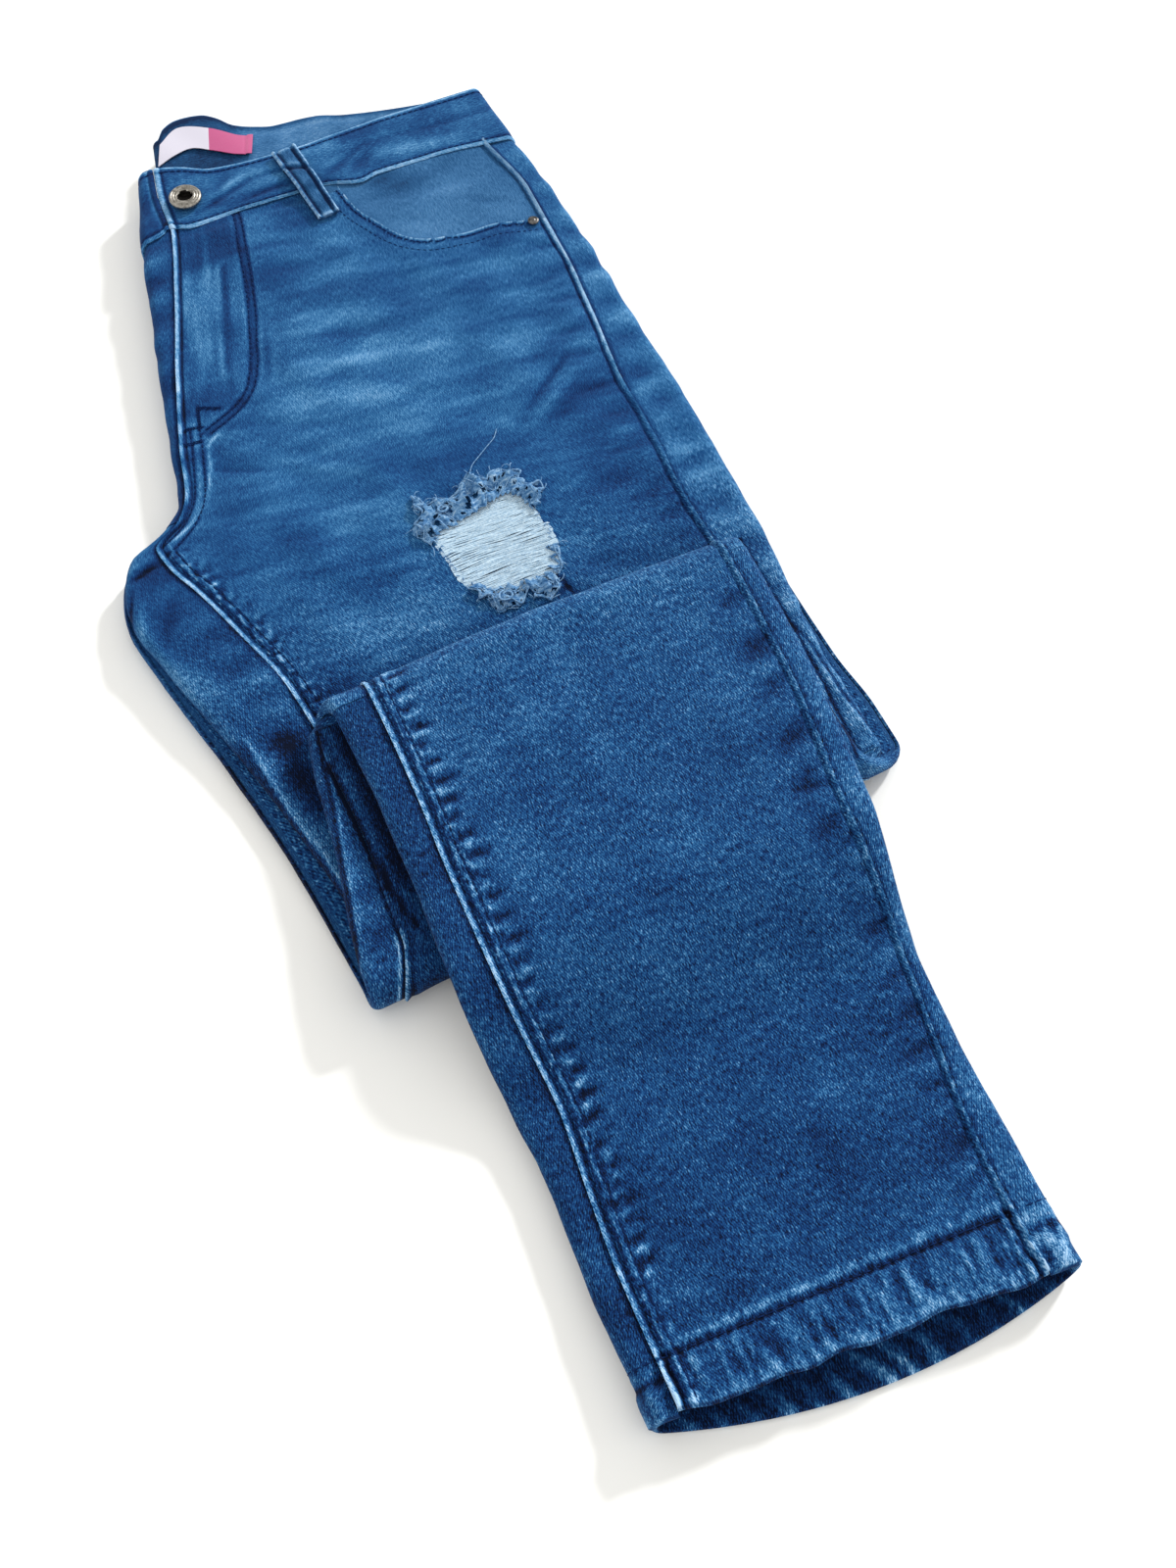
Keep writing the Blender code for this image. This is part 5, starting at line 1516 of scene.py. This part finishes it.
def back_band_line(share, drop, count=96):
    """Points across the back band at a share of its height: upper half, turn at the centre back,
    lower half; drop sinks them below its inner face."""
    xs = np.linspace(BACK_BAND[-1].x, BACK_BAND[0].x, count)
    top = smooth(*zip(*BACK_BAND), xs)
    y = WAIST_Y + 0.06 + share * (top - WAIST_Y - 0.06)
    upper = BACK_BAND_UPPER_Z + BAND_PLY - drop
    lower = BACK_BAND_LOWER_Z + drop
    a = np.radians(np.linspace(80, -80, 13))
    radius = (upper - lower) / 2
    lean = 1.6 * (1 - min(share, 1.0))
    xs = xs - lean * ease((-2.0 - xs) / 2.4)
    turn_x = BACK_BAND[0].x - lean - radius * np.cos(a)
    turn_z = (upper + lower) / 2 + radius * np.sin(a)
    rise = band_swell(xs) * share
    x = np.concatenate([xs, turn_x, xs[::-1]])
    z = np.concatenate([upper + rise, turn_z, lower + 0 * xs])
    return x, np.concatenate([y, y[-1] + 0 * a, y[::-1]]), z


def make_back_band():
    """The back waistband folded at the centre back, its inner face outwards."""
    inner = np.linspace(0.0, 1.0, 52)
    turn = np.linspace(0, math.pi, 8)[1:]
    outer = np.linspace(1.0, 0.0, 14)[1:]
    height = BACK_BAND_HEIGHT
    share = np.concatenate([inner, 1 + BAND_ROUND * np.sin(turn) / height, outer])
    drop = np.concatenate([0 * inner, BAND_ROUND * (1 - np.cos(turn)), 0 * outer + BAND_PLY])
    lines = np.array([back_band_line(a, b) for a, b in zip(share, drop)])
    points = np.moveaxis(lines, 1, 2) * CM
    outside = np.moveaxis(np.array([back_band_line(a, b - 0.05) for a, b in zip(share, drop)]), 1, 2) * CM
    cloth = Cloth(share * height, points[..., 0] / CM, points, outside)
    cloth.face_rows = slice(0, len(inner))
    x, y = cloth.px, cloth.py
    upper = 1.0 * (points[..., 2] > 0.0128)
    down = height - cloth.down + 0 * x
    dark = ease((0.6 - x) / 2.2)
    wear = 0.4 + mottled(x, y, 141, 0.35, 0.5) - 2.4 * dark - 1.8 * hump(down, 0.0, 0.16)
    wear = wear + 0.5 * hump(down, 0.35, 0.12)
    body = 0.03 * uneven(x, y, 1.8, 142) - 0.03 * hump(down, 0.4, 0.1)
    cloth.shape(body * cloth.face * upper, wear * cloth.face)
    cloth_object("waistband_back", cloth, [FACING, REVERSE], ["waistband_back"], weft_along=True)


LABEL_TOP = trace((-4.5, 36.4), (-3.25, 37.2), (-1.64, 36.3), (-0.42, 35.3), (0.43, 35.05))
LABEL_LOW = trace(
    (-5.05, 34.9), (-3.97, 35.25), (-2.97, 35.35), (-2.04, 34.7), (-1.0, 33.9), (-0.11, 33.55))
LABEL_SPLIT = 0.56         # white as far as here, pink beyond


def even_points(points, share):
    """Points at shares of a smooth line's length."""
    p = curve_through(points, 0.05)
    length = np.concatenate([[0.0], np.cumsum(np.linalg.norm(np.diff(p, axis=0), axis=1))])
    return np.stack([np.interp(share * length[-1], length, p[:, k]) for k in (0, 1)], axis=1)


def make_label():
    """A plain woven label in two colours, sewn to the back band's inner face; its end is folded."""
    u = shares(5.4, 0.09)
    t = np.linspace(0, 1, 20)[:, None, None]
    flat = even_points(LABEL_TOP, u)[None] * (1 - t) + even_points(LABEL_LOW, u)[None] * t
    x, y, along = flat[..., 0], flat[..., 1], u[None, :] + 0 * t[..., 0]
    z = BACK_BAND_UPPER_Z + BAND_PLY + 0.06 + band_swell(x) * 1.05
    z = z + 0.03 * np.sin(x * 2.1 + y) + 0.05 * (along > 0.945) - 0.03 * hump(along, 0.94, 0.012)
    points = np.stack([x, y, z], axis=-1) * CM
    for name, material, part in (("label_white", WHITE_SATIN, u <= LABEL_SPLIT + 0.012),
                                 ("label_pink", PINK_SATIN, u >= LABEL_SPLIT - 0.001)):
        own = points[:, part]
        cloth = Cloth(t[:, 0, 0] * 1.6, own[..., 0] / CM, own, own + np.array([0, 0, 0.001]))
        cloth_object(name, cloth, [material], ["label"], ply=0.04)


def band_swell(x):
    """The back band bulges upwards beside the label."""
    return 0.30 * hump(x, -1.5, 2.6)


def face_z(x, y, lift=SKIN, rows=ROWS, knots=ROW_AT):
    """Height of the left leg's face, or the band's, at a place on the thigh."""
    return float(left_face(stations([WAIST_Y - y], rows, knots), np.array([[x]]), lift)[1][0, 0])


def make_belt_loop():
    """A strip folded in three, its edges thick and worn, turned under at both ends."""
    start, end = np.array(BELT_LOOP[0]), np.array(BELT_LOOP[1])
    along = (end - start) / np.linalg.norm(end - start)
    side = np.array([-along[1], along[0]])
    length, half = float(np.linalg.norm(end - start)), 0.66
    t = np.linspace(0, length, 60)
    across = np.linspace(-half, half, 25)
    points = np.empty((len(t), len(across), 3))
    for i, at in enumerate(t):
        for j, off in enumerate(across):
            x, y = start + along * at + side * off * (1.1 - 0.16 * at / length)
            on_band = float(ease((y - WAIST_Y) / 0.5))
            z = (on_band * face_z(x, min(y, 33.0), BAND_LIFT, BAND, BAND_AT)
                 + (1 - on_band) * face_z(x, y)) + 0.27 + 0.11 * math.sin(math.pi * at / length)
            points[i, j] = x * CM, y * CM, z * CM
    cloth = Cloth(t, points[..., 0] / CM, points, points + np.array([0, 0, 0.001]))
    edge = half - np.abs(across)[None, :] + 0 * t[:, None]
    beads = 0.5 + 0.5 * np.sin(t[:, None] * math.tau / 0.33)
    ends = np.minimum(t, length - t)[:, None] + 0 * edge
    height = 0.09 * hump(edge, 0.1, 0.1) - 0.09 * hump(edge, 0.31, 0.09) - 0.05 * hump(edge, 0.0, 0.05)
    slant = t[:, None] - 0.5 * across
    height = height + 0.04 * hump(ends, 0.12, 0.12) - 0.14 * hump(slant, 1.6, 0.2)
    wear = -0.6 + 3.4 * hump(edge, 0.06, 0.09) * (0.6 + 0.5 * beads) - 3.4 * hump(edge, 0.27, 0.08)
    # the slanted fold near the top: painted shade in its dent and a painted highlight beside it
    wear = wear + 3.0 * hump(ends, 0.08, 0.12) - 2.4 * hump(slant, 1.6, 0.16) + 1.8 * hump(slant, 1.25, 0.14)
    wear = wear + 0.5 * uneven(points[..., 0] / CM, points[..., 1] / CM, 0.4, 151)
    cloth.shape(height, wear)
    cloth_object("belt_loop", cloth, [FACING, REVERSE], ["belt_loop"], ply=0.24)
    return cloth


FACING_TOP, FACING_LOW, FACING_HEIGHT = 29.9, 22.3, 7.6      # in y
FACING_IN, FACING_LIFT = 2.6, 0.085       # its inner edge in x, and how far it lies over the layers below


def make_pocket_facing():
    """The denim behind the pocket opening, from the waistband to the side seam."""
    y = np.linspace(FACING_TOP, FACING_LOW, 56)
    seam = stations(WAIST_Y - y).seam_out[:, 0] + 0.01
    share = np.linspace(0, 1, 76)
    gx = FACING_IN + (seam[:, None] - FACING_IN) * share[None, :]
    low = smooth(*zip(*POCKET_OPENING), gx[20]) - 0.55
    down = (FACING_TOP - y)[:, None] / FACING_HEIGHT
    gy = FACING_TOP + (np.maximum(low, FACING_LOW)[None, :] - FACING_TOP) * down
    near_seam = ease((gx - seam[:, None] + 0.55) / 0.5)
    lift = FACING_LIFT + (SKIN - FACING_LIFT) * near_seam
    s = stations(WAIST_Y - gy.ravel())
    z = left_face(s, gx.reshape(-1, 1), lift.reshape(-1, 1))[1].reshape(gx.shape)
    points = np.stack([gx, gy, z], axis=-1) * CM
    cloth = Cloth(FACING_TOP - y, gx, points, points + np.array([0, 0, 0.001]))
    edge = seam_edge(cloth.far, cloth.run, 165, 0.10, 2.5, 2.2)
    folds = creased(gx, gy, FACING_CREASES)
    height = 0.05 * uneven(gx, gy, 1.8, 161) + folds[0]
    wear = 0.3 * uneven(gx, gy, 1.6, 162) + folds[1] - 0.2
    wear = wear + 0.9 * soft_spot(gx, gy, 7.5, 24.6, 3.0, 1.8)
    height = np.maximum(height * ease(cloth.far / 0.5), -0.03)
    cloth.shape(height + edge[0], wear + edge[1])
    cloth_object("pocket_facing", cloth, [FACING, REVERSE], ["pocket_facing"], ply=0.07)


FACING_CREASES = creases(
    (4.9, 28.6, 6.2, 28.9, 0.30, -0.05, -1.2), (4.0, 27.8, 9.0, 28.3, 0.50, -0.04, -0.8),
    (6.0, 26.8, 10.6, 26.6, 0.45, 0.04, 0.5), (9.6, 25.6, 11.6, 24.6, 0.30, -0.04, -0.6),
    (5.2, 25.8, 7.0, 25.1, 0.40, -0.03, -0.4))


# ---------------------------------------------------------------- the rip

RIP_CORNERS = trace(
    (-0.34, 5.7), (1.1, 6.1), (2.38, 6.4), (3.57, 6.8), (4.2, 6.72), (4.6, 5.95), (4.82, 5.15),
    (4.92, 4.3), (4.93, 3.3), (4.75, 2.5), (4.42, 1.85), (4.1, 1.45), (2.96, 1.3), (1.89, 1.5),
    (0.94, 1.95), (0.2, 2.6), (0.03, 3.35), (-0.05, 4.25), (-0.21, 4.95))


def rough_outline():
    line_points = curve_through(RIP_CORNERS + RIP_CORNERS[:1], 0.1)[:-1]
    centre = line_points.mean(axis=0)
    draw = random.Random(5)
    out = []
    for p in line_points:
        away = (p - centre) / np.linalg.norm(p - centre)
        out.append(p + away * draw.uniform(-0.05, 0.06))
    return np.array(out)


RIP_OUTLINE = rough_outline()


def rip_ends(y):
    """Where a weft thread at y enters the cloth, left and right."""
    found = []
    for (x0, y0), (x1, y1) in zip(RIP_OUTLINE, np.roll(RIP_OUTLINE, -1, axis=0)):
        if (y0 > y) != (y1 > y):
            found.append(x0 + (x1 - x0) * (y - y0) / (y1 - y0))
    return (min(found), max(found)) if found else None


def make_weft():
    """The white weft threads still bridging the rip, packed close, with a few gaps."""
    draw = random.Random(8)
    threads = Gather()
    y = RIP_OUTLINE[:, 1].min() + 0.05
    while y < RIP_OUTLINE[:, 1].max() - 0.03:
        ends = rip_ends(y)
        if ends:
            xs = np.linspace(ends[0] - 0.15, ends[1] + 0.15, 30)
            phase, wave = draw.uniform(0, math.tau), draw.uniform(1.5, 4.0)
            drift = 0.06 * np.sin(xs * 1.1 + y * 1.7) + 0.022 * np.sin(xs * math.tau / wave + phase)
            lifts = 0.10 + 0.012 * draw.uniform(-1, 1) + 0.02 * np.sin(xs * math.tau / (wave * 0.7) + phase)
            inside = np.minimum(ease((xs - xs[0]) / 0.5), ease((xs[-1] - xs) / 0.5))
            pts = [(x * CM, (y + dy * k) * CM, face_z(x, y, 0.09 + (lf - 0.09) * k) * CM)
                   for x, dy, lf, k in zip(xs, drift, lifts, inside)]
            threads.tube(pts, draw.uniform(0.034, 0.042) * CM, 6)
        y += draw.choice([0.05, 0.05, 0.05, 0.055, 0.055, 0.06, 0.09])
    return threads.make("rip_threads", WEFT, "weft", ["rip_threads"])


# Torn cloth folded back from the rip: the line where it leaves the leg, its ragged rim and how far
# it stands off the leg
Torn = namedtuple("Torn", "root rim stand")
TORN = [
    Torn(trace((-0.3, 5.3), (-0.2, 5.75), (1.1, 6.05), (2.38, 6.3), (3.57, 6.7), (4.2, 6.6), (4.55, 5.95),
               (4.75, 5.3)),
         trace((-0.55, 5.3), (-0.92, 6.27), (-0.5, 7.07), (-0.42, 8.16), (0.1, 7.75), (0.68, 7.59),
               (1.65, 7.45), (1.99, 7.96), (2.72, 8.3), (3.1, 7.9), (3.79, 8.03), (4.78, 7.89),
               (4.7, 7.28), (5.08, 6.82), (5.55, 6.53), (5.0, 5.3)), 0.24),
    Torn(trace((0.3, 2.45), (0.94, 2.0), (1.89, 1.6), (2.75, 1.45)),
         trace((0.25, 2.1), (0.45, 1.65), (0.75, 1.2), (1.23, 0.7), (2.08, 0.65), (2.6, 1.1)), 0.20),
    Torn(trace((2.8, 1.5), (3.4, 1.5), (4.1, 1.6)),
         trace((2.85, 1.0), (3.05, 0.45), (3.6, 0.35), (4.1, 0.65), (4.25, 1.3)), 0.14),
    Torn(trace((4.3, 1.8), (4.65, 2.4), (4.85, 3.1)),
         trace((4.5, 1.55), (4.95, 2.1), (4.95, 3.0)), 0.08),
]


def on_thigh_z(x, y, lift):
    """Height over the finished thigh."""
    return float(thigh.at(WAIST_Y - y, x)[0][2]) / CM + lift


def torn_grid(torn, seed):
    """Points from the torn cloth's root to its rim, in centimetres. The root hangs unevenly over
    the opening."""
    size = float(np.linalg.norm(np.diff(curve_through(torn.rim, 0.1), axis=0), axis=1).sum())
    u, v = shares(size, 0.10), np.linspace(0, 1, 13)[:, None]
    root, rim = even_points(torn.root, u), even_points(torn.rim, u)
    inward = np.array(RIP_MIDDLE) - root
    inward /= np.linalg.norm(inward, axis=1, keepdims=True)
    ragged = 0.10 + 0.16 * uneven(u * size, 0 * u, 0.28, seed + 2)
    root = root + inward * ragged[:, None]
    flat = root[None] * (1 - v[..., None]) + rim[None] * v[..., None]
    x, y = flat[..., 0], flat[..., 1]
    ruffle, crumple = uneven(x, y, 0.45, seed), uneven(x, y, 0.22, seed + 1)
    x, y = x + 0.14 * v * crumple, y + 0.14 * v * ruffle
    lift = 0.05 + np.sin(math.pi * 0.85 * v) * (torn.stand + 0.20 * ruffle) + 0.08 * v * crumple
    z = [[on_thigh_z(a, b, max(0.03, c)) for a, b, c in zip(*row)] for row in zip(x, y, lift)]
    return np.stack([x, y, np.array(z)], axis=-1)


def strand(ropes, points, thick, phase):
    """A frayed yarn along points, never below the leg."""
    path = curve_through(points, 0.1)
    path[:, 2] = [max(z, on_thigh_z(x, y, 0.03)) for x, y, z in path]
    ropes.tube(path * CM, thick * (1 + 0.35 * np.sin(np.arange(len(path)) * 0.9 + phase)) * CM, 6)


def torn_piece(cloth, ropes, torn, seed, draw):
    """Ragged cloth with holes worn through it, held together by frayed yarns."""
    grid = torn_grid(torn, seed)
    rows, columns = grid.shape[:2]
    v = np.linspace(0, 1, rows)[:-1, None]
    holes = uneven(grid[..., 0], grid[..., 1], 0.26, seed + 5)[:-1, :-1]
    kept = (holes < 0.5) | (v < 0.08)
    quads = grid_quads(rows, columns)[kept]
    used, renumbered = np.unique(quads, return_inverse=True)
    cloth.add((grid.reshape(-1, 3)[used] * CM).tolist(), renumbered.reshape(-1, 4).tolist())
    for level, thick in ((rows - 1, 0.055), (0.5 * rows, 0.022)):
        wander = level + 3.2 * uneven(np.arange(columns) * 0.1, 0.0, 0.4, draw.randrange(1000))
        at = np.clip(np.round(wander), 0, rows - 1).astype(int)
        strand(ropes, grid[at, np.arange(columns)][::3] + np.array([0, 0, 0.03]), thick, seed)
    column = 0
    while column < columns:
        lean = draw.choice([-9, -5, 4, 8])
        wander = 3.0 * uneven(np.arange(rows) * 0.1, 0.0, 0.25, draw.randrange(1000))
        at = np.clip(column + lean * np.linspace(0, 1, rows) + wander, 0, columns - 1).astype(int)
        strand(ropes, grid[np.arange(rows), at][::2] + np.array([0, 0, 0.02]), draw.uniform(0.014, 0.024),
               column)
        column += draw.choice([8, 12, 17])
    for x, y, z in grid[-1, ::4]:
        curl(ropes, draw, (x, y, z), draw.uniform(0, math.tau), draw.uniform(0.25, 0.7),
             draw.uniform(0.08, 0.2), draw.uniform(0.016, 0.03))


def rolled_end(ropes, at, radius, turns):
    """A torn end rolled up on itself."""
    a = np.linspace(0, turns * math.tau, 36)
    r = radius * (1 - 0.7 * a / a[-1])
    x, y = at.x + r * np.cos(a), at.y + 0.8 * r * np.sin(a)
    lifts = 0.22 + 0.16 * np.sin(0.9 * math.pi * a / a[-1])
    ropes.tube([(px * CM, py * CM, on_thigh_z(px, py, k) * CM) for px, py, k in zip(x, y, lifts)],
               0.065 * CM, 6)


def curl(gather, draw, start, heading, length, rise, radius):
    """A short loose thread that loops back on itself."""
    points, angle = [np.array(start)], heading
    turn = draw.choice([-1, 1]) * draw.uniform(0.3, 1.8)
    count = 12
    for i in range(count):
        share = (i + 1) / count
        angle += turn / count * (0.4 + 1.2 * share)
        x = points[-1][0] + math.cos(angle) * length / count
        y = points[-1][1] + math.sin(angle) * length / count
        z = on_thigh_z(x, y, 0.03 + rise * math.sin(math.pi * share * 0.9))
        points.append(np.array([x, y, z]))
    sizes = np.full(len(points), radius * CM)
    sizes[-1] *= 0.5
    gather.tube(np.array(points) * CM, sizes, 5)


def make_frays():
    """Blue and white ends at the top and bottom of the rip, curled back over the cloth."""
    draw = random.Random(9)
    flaps, threads = Gather(), Gather()
    for number, torn in enumerate(TORN):
        torn_piece(flaps, threads, torn, 200 + 10 * number, draw)
    rolled_end(threads, Point(1.65, 1.15), 0.45, 1.7)
    rolled_end(threads, Point(0.7, 6.75), 0.35, 1.4)
    flap_piece = new_object("rip_flaps", flaps.verts, flaps.faces, [LACE])
    give_wall(flap_piece, 0.05, 0.0, 0)
    finish_piece(flap_piece)
    for x, y in RIP_OUTLINE[::3]:
        curl(threads, draw, (x, y, on_thigh_z(x, y, 0.0)), draw.uniform(0, math.tau), draw.uniform(0.15, 0.3),
             0.05, 0.022)
    loose = curve_through(LOOSE_THREAD, 0.2)
    lifts = 0.04 + 0.06 * np.sin(np.linspace(0.1, math.pi, len(loose)))
    threads.tube([(x * CM, y * CM, on_thigh_z(x, y, k) * CM) for (x, y), k in zip(loose, lifts)],
                 0.026 * CM, 6)
    return flap_piece, threads.make("rip_frays", FRAY, "weft")


LOOSE_THREAD = trace(
    (2.3, 7.6), (2.7, 8.45), (3.0, 8.9), (3.55, 9.3), (4.15, 9.75), (4.65, 10.15), (4.95, 10.6))


# ---------------------------------------------------------------- topstitching

def on_thigh(cloth, points, step=0.15):
    """A path on the thigh through places in x and y."""
    return [cloth.at(WAIST_Y - y, x) for x, y in curve_through(points, step)]


def beside_seam(cloth, start, end, away, by="side", step=0.2):
    return [cloth.at(d, away, by) for d in np.linspace(start, end, round((end - start) / step))]


def make_topstitching(thigh, lower, tube, band, right_band, loop):
    thread = Gather()
    for away in (0.0, -ROW_GAP):
        thread.stitches(on_thigh(thigh, offset(J_STITCH, away)))
    for away in (0.0, -0.5):
        thread.stitches(on_thigh(thigh, offset(RISE_STITCH, away)))
    for tack in TACKS:
        for away in (0.0, 0.09):
            thread.stitches(on_thigh(thigh, offset(tack, away), 0.05), 0.12, 0.02, 0.035)
    thread.stitches(on_thigh(thigh, offset(POCKET_STITCH, -0.2)))
    thread.stitches(on_thigh(thigh, offset(POCKET_STITCH, -0.75)), 0.2, 0.12, 0.026)
    for away in FELL_ROWS:
        thread.stitches(beside_seam(thigh, 19.3, 31.0, away))
        thread.stitches(beside_seam(lower, FOLD_2_AT + 0.5, HEM_AT - 0.1, away))
    hem_at = HEM_AT - HEM_DEPTH
    thread.stitches([lower.at(hem_at, x) for x in np.arange(-6.1, 8.7, 0.15)], 0.34, 0.08, 0.034)
    width = float(tube.side[tube.face_rows][-14, -1])
    thread.stitches([tube.at(hem_at, e, "side") for e in np.arange(0.1, width - 0.1, 0.2)], 0.34, 0.08, 0.034)
    for sheet, width in ((band, 19.4), (right_band, 21.0)):
        for d in (BAND_START + 0.3, -0.28):
            thread.stitches([sheet.at(d, e, "side") for e in np.arange(0.15, width, 0.2)])
    for e in (0.3, 1.1):
        thread.stitches([loop.at(d, e, "side") for d in np.arange(0.1, 5.3, 0.1)], 0.22, 0.06, 0.026)
    return thread.make("topstitching", SEAM_THREAD, "denim")


# ---------------------------------------------------------------- button and rivet

def pressed_metal(name, at, base, rings, sides, material, bevel, hollow):
    """A small pressed piece: a disc, pulled up ring by ring. A ring is its radius, its height and
    how round it is."""
    centre = (at.x * CM, at.y * CM, base)
    bpy.ops.object.select_all(action="DESELECT")
    bpy.ops.mesh.primitive_circle_add(vertices=sides, radius=rings[0][0] * CM, fill_type="NGON",
                                      location=centre)
    made = bpy.context.active_object
    made.name = name
    bpy.ops.object.mode_set(mode="EDIT")
    bpy.ops.mesh.select_all(action="SELECT")
    for before, ring in zip(rings, rings[1:]):
        bpy.ops.mesh.extrude_region_move(
            TRANSFORM_OT_translate={"value": (0, 0, (ring[1] - before[1]) * CM)})
        grow = ring[0] / before[0]
        bpy.ops.transform.resize(value=(grow, grow * ring[2] / before[2], 1), center_override=centre)
    bpy.ops.mesh.select_all(action="SELECT")
    bpy.ops.mesh.normals_make_consistent(inside=False)
    bpy.ops.object.mode_set(mode="OBJECT")
    bpy.ops.object.transform_apply(location=True, rotation=True, scale=True)
    edge = made.modifiers.new("soft edges", "BEVEL")
    edge.width, edge.segments, edge.limit_method = bevel * CM, 2, "ANGLE"
    bpy.ops.object.modifier_apply(modifier="soft edges")
    made.data.materials.append(material)
    made.data.materials.append(BLACK_METAL)
    for face in made.data.polygons:
        away = math.hypot(face.center.x - centre[0], face.center.y - centre[1])
        face.material_index = int(away < hollow * CM and face.center.z > base + 0.0005)
    return finish_piece(made, [name], 35.0)


BUTTON_RINGS = [(0.62, 0.0, 1), (0.66, 0.08, 1), (0.83, 0.13, 1), (0.87, 0.20, 1), (0.86, 0.28, 1),
                (0.80, 0.335, 1), (0.74, 0.345, 1), (0.715, 0.315, 1), (0.685, 0.315, 1), (0.66, 0.35, 1),
                (0.61, 0.355, 1), (0.585, 0.325, 1), (0.55, 0.325, 1), (0.52, 0.355, 0.97),
                (0.46, 0.35, 0.86), (0.42, 0.30, 0.78), (0.40, 0.20, 0.72), (0.36, 0.13, 0.70),
                (0.22, 0.12, 0.68), (0.10, 0.13, 0.66)]
RIVET_RINGS = [(0.27, 0.0, 1), (0.30, 0.02, 1), (0.29, 0.06, 1), (0.24, 0.09, 1), (0.17, 0.10, 1),
               (0.13, 0.085, 1), (0.11, 0.09, 1), (0.06, 0.12, 1), (0.02, 0.125, 1)]


def make_metal():
    button_base, rivet_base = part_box("button")[0].z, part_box("rivet")[0].z
    pressed_metal("button", BUTTON_AT, button_base, BUTTON_RINGS, 56, SILVER, 0.012, 0.38)
    pressed_metal("rivet", RIVET_AT, rivet_base + 0.0005, RIVET_RINGS, 32, GREY_METAL, 0.01, 0.0)


# ---------------------------------------------------------------- all pieces

make_core()
thigh = make_left_front_thigh()
lower = make_left_front_lower()
make_left_back_strips()
tube = make_left_back_lower()
make_right_leg()
band = make_front_band("waistband_front_left", left_band_line, 20.5, 0.35, 171, 1.0)
right_band = make_front_band("waistband_front_right", right_band_line, 24.5, -0.3, 181, -0.5)
make_back_band()
make_label()
loop = make_belt_loop()
make_pocket_facing()
weft = make_weft()
frays = make_frays()
stitching = make_topstitching(thigh, lower, tube, band, right_band, loop)
make_metal()


# ---------------------------------------------------------------- a record for cut sizes

# A record for the flat cut of what a sheet shows, in metres and square metres, seam allowance left out; no
# sheet is given one here
Cut = namedtuple("Cut", "width length area held rests_on", defaults=(None, "folded", ["folded_layers"]))


# ---------------------------------------------------------------- floor, light and camera

FLOOR_SIZE, FLOOR_Z = 6.0, -0.0009
SUN_STRENGTH, SUN_WIDTH = 2.95, 6.5           # width in degrees
SUN_TOWARDS = (-0.766, -0.431, -0.478)
CAMERA_AT = (-0.1346, -0.4310, 0.688)
CAMERA_HEADING = (0.3987, 0.9171)             # over the floor
CAMERA_DOWN = 61.4                            # degrees below level
LENS, SENSOR = 40.0, 36.0


def make_floor():
    bpy.ops.object.select_all(action="DESELECT")
    bpy.ops.mesh.primitive_plane_add(size=FLOOR_SIZE, location=(0, 0, FLOOR_Z))
    floor = bpy.context.active_object
    floor.name = "floor"
    board = new_material("matt painted board, white", {"Roughness": 0.95, "Base Color": linear("#F6F6F3")})
    floor.data.materials.append(board[0])


def make_light():
    world = bpy.data.worlds.new("studio")
    bpy.context.scene.world = world
    world.use_nodes = True
    background = world.node_tree.nodes["Background"]
    background.inputs["Color"].default_value = linear("#FFFEFC")
    background.inputs["Strength"].default_value = 1.0
    key = bpy.data.lights.new("key", "SUN")
    key.energy, key.angle = SUN_STRENGTH, math.radians(SUN_WIDTH)
    lamp = bpy.data.objects.new("key", key)
    lamp.rotation_euler = Vector(SUN_TOWARDS).to_track_quat("-Z", "Y").to_euler()
    bpy.context.collection.objects.link(lamp)


def make_camera():
    camera = bpy.data.cameras.new("camera")
    camera.lens, camera.sensor_width, camera.sensor_fit = LENS, SENSOR, "AUTO"
    camera.clip_start = 0.05
    holder = bpy.data.objects.new("camera", camera)
    holder.location = CAMERA_AT
    holder.rotation_euler = (math.radians(90 - CAMERA_DOWN), 0.0,
                             math.atan2(-CAMERA_HEADING[0], CAMERA_HEADING[1]))
    bpy.context.collection.objects.link(holder)
    bpy.context.scene.camera = holder


make_floor()
make_light()
make_camera()
bpy.context.scene.view_settings.view_transform = "Standard"
